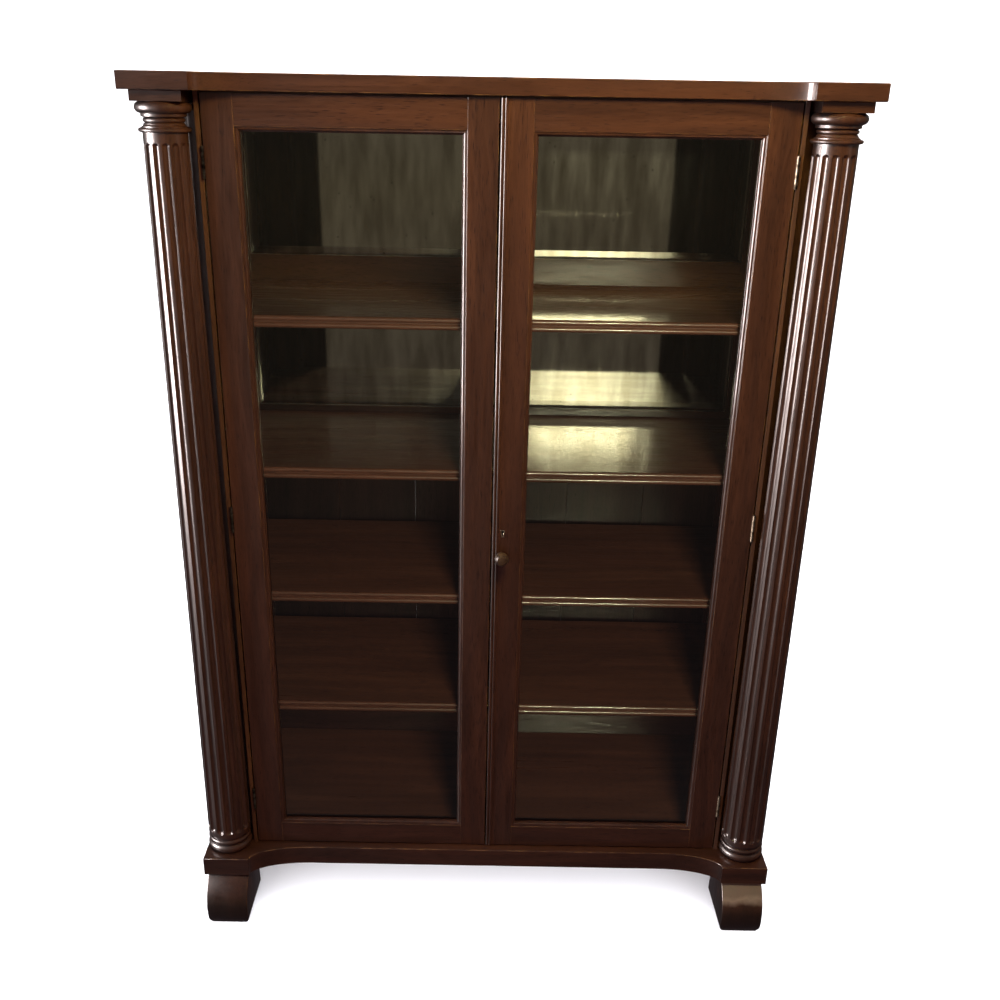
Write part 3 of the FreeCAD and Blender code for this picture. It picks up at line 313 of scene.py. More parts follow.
# The shelves' front beads: gold, a painted highlight where they catch the warm light.
PAINTED_BEAD_GLINT = ("#a0661c", "#c4882c", "#e2b04a")
BOARDS = ("#281a18", "#32211e", "#3d2924")
KNOB = ("#2a1813", "#35221c", "#412c25")
polished = {grain: mahogany(f"french_polished_mahogany_along_{grain.lower()}", grain, OUTER, 0.34, 0.7)
            for grain in "XYZ"}
waxed = {grain: mahogany(f"waxed_mahogany_along_{grain.lower()}", grain, INNER, 0.3, 0.85, 0.11, 0.21)
         for grain in "XYZ"}
post_wood = mahogany("dull_post_mahogany", "Z", POSTS, 0.6, 0.05)
column_wood = mahogany("turned_column_mahogany", "Z", OUTER, 0.4, 0.9, 0.27)
bead_glint_wood = mahogany("worn_bead_mahogany", "X", PAINTED_BEAD_GLINT, 0.3, 0.1)
board_wood = mahogany("thinly_polished_back_boards", "Z", BOARDS, 0.4, 0.15)
knob_wood = mahogany("hand_worn_knob_mahogany", "Y", KNOB, 0.36, 0.3, 0.25)
# The right front foot: wear and a painted highlight above a ragged line.
kicked_and_highlit_foot_wood = mahogany("kicked_foot_mahogany", "Z", OUTER, 0.34, 0.7, kicked_and_highlit=True)
print("woods", [made.name for made in bpy.data.materials if "mahogany" in made.name or "boards" in made.name])

# %% [markdown]
# ## Soft arrises
# A joiner takes every sharp edge off with a plane or glass-paper, and a century of dusting rounds it
# further. The edge then catches a thin line of light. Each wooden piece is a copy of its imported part, its
# long outer edges bevelled. Edges that meet another piece flush, such as a stile against a rail, stay
# sharp, so no groove opens there.

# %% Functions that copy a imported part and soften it
def joined_up(node):
    """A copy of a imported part's mesh, its loose triangles merged into whole faces."""
    form = bmesh.new()
    form.from_mesh(frame["nodes"][node].data)
    bmesh.ops.remove_doubles(form, verts=form.verts, dist=0.003 * MM)
    bmesh.ops.dissolve_limit(form, angle_limit=math.radians(0.5), verts=form.verts, edges=form.edges)
    return form


def long_arrises(form, least, chosen):
    """The sharp outward edges that run on for at least that length, and that the test picks."""
    sharp = [e for e in form.edges if e.is_manifold and e.is_convex and e.calc_face_angle() > 0.6]
    group = {e: {e} for e in sharp}
    for e in sharp:
        way = (e.verts[1].co - e.verts[0].co).normalized()
        for vert in e.verts:
            for other in vert.link_edges:
                if other in group and group[other] is not group[e]:
                    turn = (other.verts[1].co - other.verts[0].co).normalized()
                    if abs(way.dot(turn)) > 0.85:
                        both = group[e] | group[other]
                        for member in both:
                            group[member] = both
    long = [e for e in sharp if sum(member.calc_length() for member in group[e]) > least]
    return [e for e in long if chosen(*(vert.co for vert in e.verts))]


def boards_apart(form, seed):
    """Gives each loose part of a mesh its own place in the wood's pattern."""
    board = form.faces.layers.float_vector.new("board")
    dice = random.Random(seed)
    waiting = set(form.faces)
    for first in list(form.faces):
        if first not in waiting:
            continue
        shift = Vector((dice.random(), dice.random(), dice.random()))
        waiting.discard(first)
        reached = [first]
        while reached:
            face = reached.pop()
            face[board] = shift
            for edge in face.edges:
                for near in edge.link_faces:
                    if near in waiting:
                        waiting.discard(near)
                        reached.append(near)


def finished(form, name, material, sharp=35, flat=True):
    """Turns the working form into a mesh with smooth shading up to that angle."""
    mesh = bpy.data.meshes.new(name)
    form.to_mesh(mesh)
    form.free()
    mesh.materials.clear()
    mesh.materials.append(material)
    mesh.shade_smooth()
    mesh.set_sharp_from_angle(angle=math.radians(sharp))
    return flat_where_flat(mesh) if flat else mesh


def flat_where_flat(mesh):
    """Leans the shading on the larger faces, so that a flat board looks flat up to its rounded edge."""
    holder = bpy.data.objects.new("shading", mesh)
    bpy.context.scene.collection.objects.link(holder)
    lean = holder.modifiers.new("shading", "WEIGHTED_NORMAL")
    lean.keep_sharp = True
    graph = bpy.context.evaluated_depsgraph_get()
    seen = holder.evaluated_get(graph)
    made = bpy.data.meshes.new_from_object(seen, preserve_all_data_layers=True, depsgraph=graph)
    made.name = mesh.name
    bpy.data.objects.remove(holder)
    return made


def piece(name, mesh, body, slot, *nodes):
    """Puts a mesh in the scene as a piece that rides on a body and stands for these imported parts."""
    made = bpy.data.objects.new(name, mesh)
    bpy.context.scene.collection.objects.link(made)
    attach(made, body)
    if nodes:
        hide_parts(*nodes)
    return made


BODY_OF = {node: body for body, nodes in frame["record"]["behaviour"]["bodies"].items() for node in nodes}
SLOT_OF = {part["node"]: part["material_slot"] for part in frame["record"]["subparts"]}
# The face value marks the kicked foot's front faces, which get wear and a painted highlight.
EDGE_WEAR, FACE_WEAR_AND_HIGHLIGHT = 1.0, 2.5


def eased(node, material, width, chosen=lambda a, b: True, least=60, worn_and_highlit=None, bead=None, shape=None,
          flat=True):
    """A wooden part, its long arrises softened. One test picks the worn faces that also get a painted
    highlight, the other the bead faces that are painted gold as a highlight.
    """
    form = joined_up(node)
    if shape:
        shape(form)
    arris = form.faces.layers.float.new("arris")
    made = bmesh.ops.bevel(form, geom=long_arrises(form, least * MM, chosen), offset=width * MM,
                           offset_type="OFFSET", segments=2, profile=0.5, affect="EDGES", clamp_overlap=True,
                           material=-1)
    for face in made["faces"]:
        face[arris] = EDGE_WEAR
    boards_apart(form, node)
    form.normal_update()
    for face in form.faces:
        if worn_and_highlit and worn_and_highlit(face):
            face[arris] = FACE_WEAR_AND_HIGHLIGHT
        face.material_index = 1 if bead and bead(face.calc_center_median()) else 0
    print(node, len(form.faces), "faces")
    mesh = finished(form, node, material, flat=flat)
    if bead:
        mesh.materials.append(bead_glint_wood)
    return piece(f"{node}_eased", mesh, BODY_OF[node], SLOT_OF[node], node)


# %% Top, plinth, feet and abaci
HAIR = 0.5 * MM
upright = lambda a, b: abs(a.x - b.x) + abs(a.y - b.y) < HAIR
lying = lambda a, b: abs(a.z - b.z) < HAIR
along = lambda a, b: abs(a.z - b.z) + abs(a.y - b.y) < HAIR
forward = lambda face: face.normal.y < -0.3


def worn_toe(form):
    """Draws a foot's sides in near the floor, where a century of mopping and kicks has rounded them."""
    toe_height, toe_draw = 16 * MM, 7 * MM
    everything = [*form.verts, *form.edges, *form.faces]
    bmesh.ops.bisect_plane(form, geom=everything, plane_co=(0, 0, toe_height), plane_no=(0, 0, 1))
    middle = sum(vert.co.x for vert in form.verts) / len(form.verts)
    for vert in form.verts:
        low = max(0.0, 1 - vert.co.z / toe_height)
        vert.co.x += math.copysign(toe_draw * low ** 2, middle - vert.co.x)


eased("top_board", polished["X"], 1.6)
eased("plinth_board", polished["X"], 1.6)
# The right foot's front faces get wear and a painted highlight.
for side, wood, kicked_and_highlit in (("left", polished["Z"], None), ("right", kicked_and_highlit_foot_wood, forward)):
    eased(f"foot_front_{side}", wood, 1.5, least=25, worn_and_highlit=kicked_and_highlit, shape=worn_toe, flat=False)
    eased(f"foot_rear_{side}", waxed["Z"], 2.5)
    eased(f"abacus_{side}", polished["X"], 1.0)
    eased(f"front_post_{side}", post_wood, 1.0, upright)

# %% Sides, back, floor, head rail and shelves
for side in ("left", "right"):
    eased(f"side_stiles_{side}", polished["Z"], 0.8, upright)
    eased(f"side_rails_{side}", polished["Y"], 0.6, lying, least=900)
    eased(f"side_panel_{side}", polished["Z"], 0.5, upright)
eased("back_stiles", waxed["Z"], 0.6, upright)
eased("back_rails", waxed["X"], 0.8, along)
eased("case_floor", waxed["X"], 0.8, along)
eased("head_rail", waxed["X"], 0.8, along)
for index in range(1, 5):
    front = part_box(f"shelf_{index}")[0][1]
    # The bead faces take the gold painted highlight.
    eased(f"shelf_{index}", waxed["X"], 0.4, along, bead=lambda spot: spot.y < front + 5.2 * MM)
eased("mirror_backing", waxed["X"], 0.5)
eased("back_boards", board_wood, 0.7, upright)

# %% Door frames
for side in ("left", "right"):
    for stile in ("hinge", "meeting"):
        eased(f"{side}_door_{stile}_stile", polished["Z"], 0.9, upright)
    eased(f"{side}_door_rails", polished["X"], 0.9, along, least=300)
eased("meeting_bead", polished["Z"], 0.2, upright)

# %% [markdown]
# ## Turned pieces
# The column's base and capital and the knob were turned on a lathe, so each is a profile spun round an
# axis. The profile is a list of points, with arcs where the turner's gouge made them.

# %% A lathe
def arc(x, z, radius, first, last, steps=8):
    """Points along an arc, between two angles in degrees."""
    turns = [math.radians(first + (last - first) * n / steps) for n in range(steps + 1)]
    return [(x + radius * math.cos(t), z + radius * math.sin(t)) for t in turns]


def lathe(profile, axis, sides=96, forward=False):
    """Spins a profile of radius and height, in millimetres, round an upright or a forward axis."""
    form = bmesh.new()
    rings = []
    for radius, rise in profile:
        ring = []
        for n in range(1 if radius == 0 else sides):
            turn = 2 * math.pi * n / sides
            spot = Vector((radius * math.cos(turn), radius * math.sin(turn), rise))
            if forward:
                spot = Vector((spot.x, -spot.z, spot.y))
            ring.append(form.verts.new(Vector(axis) + spot * MM))
        rings.append(ring)
    for low, high in zip(rings, rings[1:]):
        for n in range(sides):
            ahead = n + 1
            corners = [low[n % len(low)], low[ahead % len(low)], high[ahead % len(high)], high[n % len(high)]]
            corners = list(dict.fromkeys(corners))
            if len(corners) > 2:
                form.faces.new(corners)
    bmesh.ops.remove_doubles(form, verts=form.verts, dist=0.002 * MM)
    bmesh.ops.recalc_face_normals(form, faces=form.faces)
    return form


# %% Column bases and capitals
base_profile = [(0, 0), *arc(36, 10, 10, -90, 90, 14), *arc(39.5, 27, 5, -90, 90, 10),
                (40, 32), *arc(44, 36, 4, 180, 90, 6), (0, 40)]
capital_profile = [(0, 0), *arc(39.5, 3.5, 3.5, -90, 90, 10), (37.5, 7), *arc(37.5, 13, 4, -90, -180, 6),
                   *arc(31, 18.5, 3.5, -90, 90, 10), (36.8, 24), (37.2, 24.4), (37.2, 28.4),
                   *arc(37.2, 38, 9, -84, 90, 16), (0, 47)]
shaft_box = {side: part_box(f"column_shaft_{side}") for side in ("left", "right")}
axis_of = {side: (Vector(shaft_box[side][0]) + Vector(shaft_box[side][1])) / 2 for side in shaft_box}
for side, middle in axis_of.items():
    foot, crown = shaft_box[side][0][2], shaft_box[side][1][2]
    base = lathe(base_profile, (middle.x, middle.y, foot))
    boards_apart(base, side)
    piece(f"column_base_{side}", finished(base, "column_base", column_wood), "case", "polished_mahogany",
          f"column_shaft_{side}")
    capital = lathe(capital_profile, (middle.x, middle.y, crown))
    boards_apart(capital, side + "top")
    piece(f"turned_capital_{side}", finished(capital, "capital", column_wood), "case", "polished_mahogany",
          f"capital_{side}")
    print("column", side, [round(x, 4) for x in middle], "from", round(foot, 4), "to", round(crown, 4))

# %% Knob
low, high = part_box("knob")
tenon = ((low[0] + high[0]) / 2, high[1], (low[2] + high[2]) / 2)
knob_profile = [(0, 0), (5, 0), (5, 14), (6.2, 14), (6.2, 15.5), (5.4, 17),
                *arc(0, 34.37, 13.5, -66.4, 48, 14), *arc(7.2, 42.8, 2.6, 40, 80, 4)[1:],
                (5, 45.7), (2.5, 46), (0, 46.1)]
knob = lathe(knob_profile, tenon, 48, forward=True)
boards_apart(knob, "knob")
piece("turned_knob", finished(knob, "knob", knob_wood), BODY_OF["knob"], SLOT_OF["knob"], "knob")
print("knob at", [round(x, 4) for x in tenon])

# %% [markdown]
# ## The fluted shaft
# A flute is a round groove cut down the column, with a round end where the cutter dips in and out. Its
# shape follows a rule: at each angle and height, the surface is either the tapering shaft or the inside of
# the cutter's path. Geometry Nodes work that rule out for a grid that is wrapped round the axis, with grid
# lines laid on the flutes' edges.

# %% The tree for a fluted shaft
def geometry_tree(name, inputs):
    """An empty geometry tree with named inputs and one output."""
    tree = bpy.data.node_groups.new(name, "GeometryNodeTree")
    tree.interface.new_socket(name="Geometry", in_out="OUTPUT", socket_type="NodeSocketGeometry")
    sockets = {}
    for title, kind in inputs:
        made = tree.interface.new_socket(name=title, in_out="INPUT", socket_type=f"NodeSocket{kind}")
        sockets[title] = made.identifier
    return tree, sockets, add(tree, "NodeGroupInput").outputs, add(tree, "NodeGroupOutput")


def grown(name, tree, sockets, values, start=None):
    """Runs a geometry tree with these input values and gives the plain mesh that it makes."""
    holder = bpy.data.objects.new(name, start or bpy.data.meshes.new(name))
    bpy.context.scene.collection.objects.link(holder)
    modifier = holder.modifiers.new(name, "NODES")
    modifier.node_group = tree
    for title, value in values.items():
        modifier[sockets[title]] = value
    bpy.context.view_layer.update()
    seen = holder.evaluated_get(bpy.context.evaluated_depsgraph_get())
    mesh = bpy.data.meshes.new_from_object(seen)
    holder.modifiers.remove(modifier)
    bpy.data.objects.remove(holder)
    return mesh


ROWS, STEPS = 53, 16
tree, shaft_sockets, given, result = geometry_tree("fluted_shaft", [
    ("Centre", "Vector"), ("Low", "Float"), ("High", "Float"), ("Low Radius", "Float"),
    ("Top Radius", "Float"), ("Flutes", "Int"), ("Flute Share", "Float"), ("Depth Share", "Float"),
    ("Flute Low", "Float"), ("Flute High", "Float"), ("Finish", "Material")])
maths = "ShaderNodeMath"
columns = add(tree, maths, {"operation": "MULTIPLY"}, (given["Flutes"], STEPS))
corners = add(tree, maths, {"operation": "ADD"}, (columns, 1.0))
grid = add(tree, "GeometryNodeMeshGrid", sockets={"Vertices X": corners, "Vertices Y": ROWS})
spot = add(tree, "ShaderNodeSeparateXYZ", sockets={"Vector": add(tree, "GeometryNodeInputPosition")})
u = add(tree, maths, {"operation": "ADD"}, (spot.outputs["X"], 0.5))
v = add(tree, maths, {"operation": "ADD"}, (spot.outputs["Y"], 0.5))
count = add(tree, maths, {"operation": "MULTIPLY"}, (u, columns))
count = add(tree, maths, {"operation": "ROUND"}, (count,))
flute = add(tree, maths, {"operation": "DIVIDE"}, (count, STEPS))
flute = add(tree, maths, {"operation": "FLOOR"}, (flute,))
step = add(tree, maths, {"operation": "MULTIPLY_ADD"}, (flute, -STEPS, count))
row = add(tree, maths, {"operation": "MULTIPLY"}, (v, ROWS - 1))
row = add(tree, maths, {"operation": "ROUND"}, (row,))
# The cutter's own circle, all as shares of the shaft's radius
reach = add(tree, maths, {"operation": "ADD"}, (given["Flute Share"], 1.0))
reach = add(tree, maths, {"operation": "SUBTRACT"}, (reach, given["Depth Share"]))
top = add(tree, maths, {"operation": "MULTIPLY_ADD"}, (reach, reach, 1.0))
share_squared = add(tree, maths, {"operation": "MULTIPLY"}, (given["Flute Share"], given["Flute Share"]))
top = add(tree, maths, {"operation": "SUBTRACT"}, (top, share_squared))
under = add(tree, maths, {"operation": "MULTIPLY"}, (reach, 2.0))
edge = add(tree, maths, {"operation": "DIVIDE"}, (top, under))
edge = add(tree, maths, {"operation": "ARCCOSINE"}, (edge,))
between = add(tree, maths, {"operation": "DIVIDE"}, (2 * math.pi, given["Flutes"]))
land = add(tree, maths, {"operation": "MULTIPLY_ADD"}, (edge, -2.0, between))
# The first ten steps of each flute cross the groove, the last six cross the flat land beside it
GROOVE_STEPS = 10
inside = add(tree, maths, {"operation": "MINIMUM"}, (step, GROOVE_STEPS))
inside = add(tree, maths, {"operation": "MULTIPLY_ADD"}, (inside, 2 / GROOVE_STEPS, -1.0))
inside = add(tree, maths, {"operation": "MULTIPLY"}, (inside, edge))
beside = add(tree, maths, {"operation": "SUBTRACT"}, (step, GROOVE_STEPS))
beside = add(tree, maths, {"operation": "MAXIMUM"}, (beside, 0.0))
beside = add(tree, maths, {"operation": "DIVIDE"}, (beside, STEPS - GROOVE_STEPS))
local = add(tree, maths, {"operation": "MULTIPLY_ADD"}, (beside, land, inside))
angle = add(tree, maths, {"operation": "MULTIPLY_ADD"}, (flute, between, local))
# Twenty rows at each end, where the flutes are round, and twelve down the plain length
END_ROWS = 20
rise = add(tree, "ShaderNodeMapRange", sockets={"Value": row, "From Min": 0.0, "From Max": END_ROWS,
                                                "To Min": given["Low"], "To Max": given["Flute Low"]})
plain_run = add(tree, maths, {"operation": "SUBTRACT"}, (given["Flute High"], given["Flute Low"]))
top_run = add(tree, maths, {"operation": "SUBTRACT"}, (given["High"], given["Flute High"]))
plain_end = ROWS - 1 - END_ROWS
for first, last, run in ((END_ROWS, plain_end, plain_run), (plain_end, ROWS - 1, top_run)):
    stretch = add(tree, "ShaderNodeMapRange",
                  sockets={"Value": row, "From Min": first, "From Max": last, "To Min": 0.0, "To Max": run})
    rise = add(tree, maths, {"operation": "ADD"}, (rise, stretch))
radius = add(tree, "ShaderNodeMapRange",
             sockets={"Value": rise, "From Min": given["Low"], "From Max": given["High"],
                      "To Min": given["Low Radius"], "To Max": given["Top Radius"]})
cutter = add(tree, maths, {"operation": "MULTIPLY"}, (radius, given["Flute Share"]))
short = add(tree, maths, {"operation": "SUBTRACT"}, (given["Flute Low"], rise))
short = add(tree, maths, {"operation": "MAXIMUM"}, (short, 0.0))
past = add(tree, maths, {"operation": "SUBTRACT"}, (rise, given["Flute High"]))
past = add(tree, maths, {"operation": "MAXIMUM"}, (past, 0.0))
beyond = add(tree, maths, {"operation": "ADD"}, (short, past))
centre = add(tree, maths, {"operation": "MULTIPLY"}, (radius, reach))
sideways = add(tree, maths, {"operation": "SINE"}, (local,))
sideways = add(tree, maths, {"operation": "MULTIPLY"}, (sideways, centre))
room = add(tree, maths, {"operation": "MULTIPLY"}, (cutter, cutter))
room = add(tree, maths, {"operation": "SUBTRACT"},
           (room, add(tree, maths, {"operation": "MULTIPLY"}, (beyond, beyond))))
room = add(tree, maths, {"operation": "SUBTRACT"},
           (room, add(tree, maths, {"operation": "MULTIPLY"}, (sideways, sideways))))
hollow = add(tree, maths, {"operation": "MAXIMUM"}, (room, 0.0))
hollow = add(tree, maths, {"operation": "SQRT"}, (hollow,))
facing = add(tree, maths, {"operation": "COSINE"}, (local,))
groove = add(tree, maths, {"operation": "MULTIPLY"}, (facing, centre))
groove = add(tree, maths, {"operation": "SUBTRACT"}, (groove, hollow))
cut_here = add(tree, maths, {"operation": "GREATER_THAN"}, (room, 0.0))
drop = add(tree, maths, {"operation": "SUBTRACT"}, (groove, radius))
drop = add(tree, maths, {"operation": "MINIMUM"}, (drop, 0.0))
surface = add(tree, maths, {"operation": "MULTIPLY_ADD"}, (cut_here, drop, radius))
cosine = add(tree, maths, {"operation": "COSINE"}, (angle,))
sine = add(tree, maths, {"operation": "SINE"}, (angle,))
wrapped = add(tree, "ShaderNodeCombineXYZ", sockets={
    "X": add(tree, maths, {"operation": "MULTIPLY"}, (cosine, surface)),
    "Y": add(tree, maths, {"operation": "MULTIPLY"}, (sine, surface)), "Z": rise})
placed = add(tree, "ShaderNodeVectorMath", {"operation": "ADD"}, (wrapped, given["Centre"]))
moved = add(tree, "GeometryNodeSetPosition", sockets={"Geometry": grid.outputs["Mesh"], "Position": placed})
welded = add(tree, "GeometryNodeMergeByDistance", sockets={"Geometry": moved, "Distance": 0.01 * MM})
real = add(tree, "GeometryNodeRealizeInstances", sockets={"Geometry": welded})
coated = add(tree, "GeometryNodeSetMaterial", sockets={"Geometry": real, "Material": given["Finish"]})
tree.links.new(coated.outputs[0], result.inputs[0])
shaft_tree = tree

# %% Grow both shafts
for side, middle in axis_of.items():
    foot, crown = shaft_box[side][0][2], shaft_box[side][1][2]
    mesh = grown("shaft", shaft_tree, shaft_sockets, {
        "Centre": (middle.x, middle.y, foot), "Low": 39.9 * MM, "High": crown - foot, "Low Radius": 44 * MM,
        "Top Radius": 36.5 * MM, "Flutes": 14, "Flute Share": 0.176, "Depth Share": 0.123,
        "Flute Low": 56 * MM, "Flute High": crown - foot - 22.2 * MM, "Finish": column_wood})
    form = bmesh.new()
    form.from_mesh(mesh)
    bmesh.ops.holes_fill(form, edges=[e for e in form.edges if e.is_boundary])
    bmesh.ops.recalc_face_normals(form, faces=form.faces)
    boards_apart(form, side + "shaft")
    piece(f"fluted_shaft_{side}", finished(form, "fluted_shaft", column_wood, 28), "case",
          "polished_mahogany", f"column_shaft_{side}")
    print("shaft", side, len(mesh.vertices), "points")

# %% [markdown]
# ## Mitred frames
# The sight moulding is a strip that falls in a quarter round from the door's face to the glass, mitred at
# the corners. The plain beads behind hold the glass. Both are a profile carried round a rectangle, so one
# function makes them from the opening's corners.

# %% Carry a profile round a rectangle
def mitred(profile, low, high, seed):
    """A closed profile of inset and depth, in millimetres, carried round an opening between two corners."""
    form = bmesh.new()
    rings = []
    for inset, depth in profile:
        left, right = low[0] + inset * MM, high[0] - inset * MM
        bottom, top = low[2] + inset * MM, high[2] - inset * MM
        rings.append([form.verts.new((x, depth * MM, z))
                      for x, z in ((left, bottom), (right, bottom), (right, top), (left, top))])
    for one, two in zip(rings, rings[1:] + rings[:1]):
        for n in range(4):
            form.faces.new((one[n], one[(n + 1) % 4], two[(n + 1) % 4], two[n]))
    bmesh.ops.recalc_face_normals(form, faces=form.faces)
    boards_apart(form, seed)
    return form


door_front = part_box("left_door_rails")[0][1] / MM
glass_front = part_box("left_door_glass")[0][1] / MM
for side in ("left", "right"):
    low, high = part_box(f"{side}_door_sight_moulding")
    face = door_front + 0.8
    section = [(0, glass_front), (0, face), (0.9, face), (1.2, face + 0.3), (1.2, face + 1.2),
               *[(1.2 + 5.6 * math.sin(math.radians(t)), face + 6.8 - 5.6 * math.cos(math.radians(t)))
                 for t in range(0, 91, 9)][1:], (7.8, face + 6.8), (8, face + 7.0), (8, glass_front)]
    form = mitred(section, low, high, side)
    piece(f"{side}_sight_moulding", finished(form, "sight_moulding", polished["Z"], 40), f"{side}_door",
          "polished_mahogany", f"{side}_door_sight_moulding")
    low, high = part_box(f"{side}_door_glazing_beads")
    near, far = low[1] / MM, high[1] / MM
    section = [(0, near), (0, far), (5.5, far), (7.3, far - 0.7), (8, far - 2.5), (8, near)]
    form = mitred(section, low, high, side + "bead")
    piece(f"{side}_glazing_bead_frame", finished(form, "glazing_beads", polished["Z"], 50), f"{side}_door",
          "polished_mahogany", f"{side}_door_glazing_beads")
print("door front at", round(door_front, 1), "glass at", round(glass_front, 1))

# %% [markdown]
# ## Brass, steel, glass and mirrors
# Old lacquered brass is brown-gold, dark in its hollows and bright where fingers and screwdrivers touch it.
# The lock case is plain steel. The panes are thin clear glass. The mirrors are silvered glass that has gone
# grey and foxed.

# %% Aged brass and dull steel
def old_metal(name, dark, bright, rough):
    """Metal with tarnish in patches 9 mm wide and fine rubbing marks."""
    made, tree, end = bare_material(name)
    where = add(tree, "ShaderNodeTexCoord").outputs["Object"]
    patches = add(tree, "ShaderNodeTexNoise",
                  sockets={"Vector": where, "Scale": 1 / (9 * MM), "Detail": 5.0})
    fine = add(tree, "ShaderNodeTexNoise",
               sockets={"Vector": where, "Scale": 1 / (0.8 * MM), "Detail": 2.0})
    tone = ramp(add(tree, "ShaderNodeValToRGB", sockets={"Fac": patches}), [(0.35, dark), (0.62, bright)])
    dull = add(tree, "ShaderNodeMapRange", sockets={"Value": patches, "From Min": 0.3, "From Max": 0.7,
                                                    "To Min": rough + 0.2, "To Max": rough})
    relief = add(tree, "ShaderNodeBump", sockets={"Height": fine, "Strength": 0.2, "Distance": 0.05 * MM})
    metal = add(tree, "ShaderNodeBsdfPrincipled", sockets={"Base Color": tone, "Metallic": 1.0,
                                                           "Roughness": dull, "Normal": relief})
    tree.links.new(metal.outputs[0], end.inputs["Surface"])
    return made


brass = old_metal("aged_lacquered_brass", "#352e26", "#84796a", 0.38)
steel = old_metal("dull_lock_steel", "#4a4845", "#8f8c86", 0.35)

eased("escutcheon", old_metal("rubbed_keyhole_brass", "#7a6a55", "#e0d3bb", 0.25), 0.25, least=3)

# %% Thin glass and old mirror
pane, tree, end = bare_material("thin_clear_glass")
where = add(tree, "ShaderNodeTexCoord").outputs["Object"]
drift = add(tree, "ShaderNodeTexNoise", sockets={"Vector": where, "Scale": 1 / (140 * MM), "Detail": 1.0})
wave = add(tree, "ShaderNodeBump", sockets={"Height": drift, "Strength": 0.1, "Distance": 1 * MM})
clear = add(tree, "ShaderNodeBsdfTransparent", sockets={"Color": paint("#f7f9f7")})
shine = add(tree, "ShaderNodeBsdfGlossy", {"distribution": "GGX"},
            {"Color": (0.9, 0.93, 0.92, 1), "Roughness": 0.015, "Normal": wave})
bounce = add(tree, "ShaderNodeFresnel", sockets={"IOR": 1.45})
mirrored = add(tree, "ShaderNodeMath", {"operation": "MULTIPLY"}, (bounce, 0.95))
both = add(tree, "ShaderNodeMixShader", sockets=(mirrored, clear, shine))
tree.links.new(both.outputs[0], end.inputs["Surface"])

silvered, tree, end = bare_material("old_silvered_mirror")
where = add(tree, "ShaderNodeTexCoord").outputs["Object"]
streaky = add(tree, "ShaderNodeMapping", sockets={"Vector": where, "Scale": (1, 1, 0.2)})
haze = add(tree, "ShaderNodeTexNoise", sockets={"Vector": streaky, "Scale": 1 / (25 * MM), "Detail": 6.0})
spots = add(tree, "ShaderNodeTexVoronoi", sockets={"Vector": where, "Scale": 1 / (26 * MM)})
foxed = add(tree, "ShaderNodeMapRange", sockets={"Value": spots, "From Min": 0.03, "From Max": 0.09})
tone = ramp(add(tree, "ShaderNodeValToRGB", sockets={"Fac": haze}), [(0.35, "#a19b90"), (0.65, "#cfcbc3")])
tone = add(tree, "ShaderNodeMix", {"data_type": "RGBA"}, {"Factor": foxed, 6: paint("#4a4a3c"), 7: tone})
dull = add(tree, "ShaderNodeMapRange", sockets={"Value": haze, "To Min": 0.02, "To Max": 0.09})
reflect = add(tree, "ShaderNodeBsdfPrincipled", sockets={"Base Color": tone.outputs[2], "Metallic": 1.0,
                                                         "Roughness": dull})
tree.links.new(reflect.outputs[0], end.inputs["Surface"])

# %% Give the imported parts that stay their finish
FINISH = {"aged_brass": brass, "lock_steel": steel, "door_glass": pane, "mirror_glass": silvered,
          "polished_mahogany": polished["Z"], "inner_mahogany": waxed["X"], "back_board_wood": board_wood}
for node, thing in frame["nodes"].items():
    for place in thing.material_slots:
        place.material = FINISH[SLOT_OF[node]]
print("finishes set on", len(frame["nodes"]), "parts")

# %% [markdown]
# ## Screws and shelf pegs
# The hinges are held by small brass screws with slotted, countersunk heads, each turned home to its own
# angle. The shelves lie on turned pegs in holes in the case's sides. One screw and one peg are made, and
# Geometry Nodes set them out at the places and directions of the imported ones.

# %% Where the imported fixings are
def loose_parts(node):
    """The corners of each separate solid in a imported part."""
    form = joined_up(node)
    waiting, parts = set(form.verts), []
    for first in list(form.verts):
        if first not in waiting:
            continue
        waiting.discard(first)
        reached = [first]
        for vert in reached:
            for edge in vert.link_edges:
                near = edge.other_vert(vert)
                if near in waiting:
                    waiting.discard(near)
                    reached.append(near)
        parts.append([vert.co.copy() for vert in reached])
    form.free()
    return parts


def stance(corners):
    """Where a fixing's head is and which way it faces: its wider end, or else the one nearer the middle."""
    low, high = (Vector([pick(c[k] for c in corners) for k in range(3)]) for pick in (min, max))
    middle = (low + high) / 2
    ends = []
    for end in (low.x, high.x):
        reach = max((c - middle).yz.length for c in corners if abs(c.x - end) < 0.2 * MM)
        ends.append((round(reach, 6), -abs(end), end))
    head = max(ends)[2]
    return Vector((head, middle.y, middle.z)), Vector((1 if head > middle.x else -1, 0, 0))


def spots_of(node):
    """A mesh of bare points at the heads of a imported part's fixings, each with the way that it faces."""
    stances = [stance(corners) for corners in loose_parts(node)]
    mesh = bpy.data.meshes.new(node)
    mesh.from_pydata([spot for spot, way in stances], [], [])
    facing = mesh.attributes.new("facing", "FLOAT_VECTOR", "POINT")
    facing.data.foreach_set("vector", [part for spot, way in stances for part in way])
    return mesh


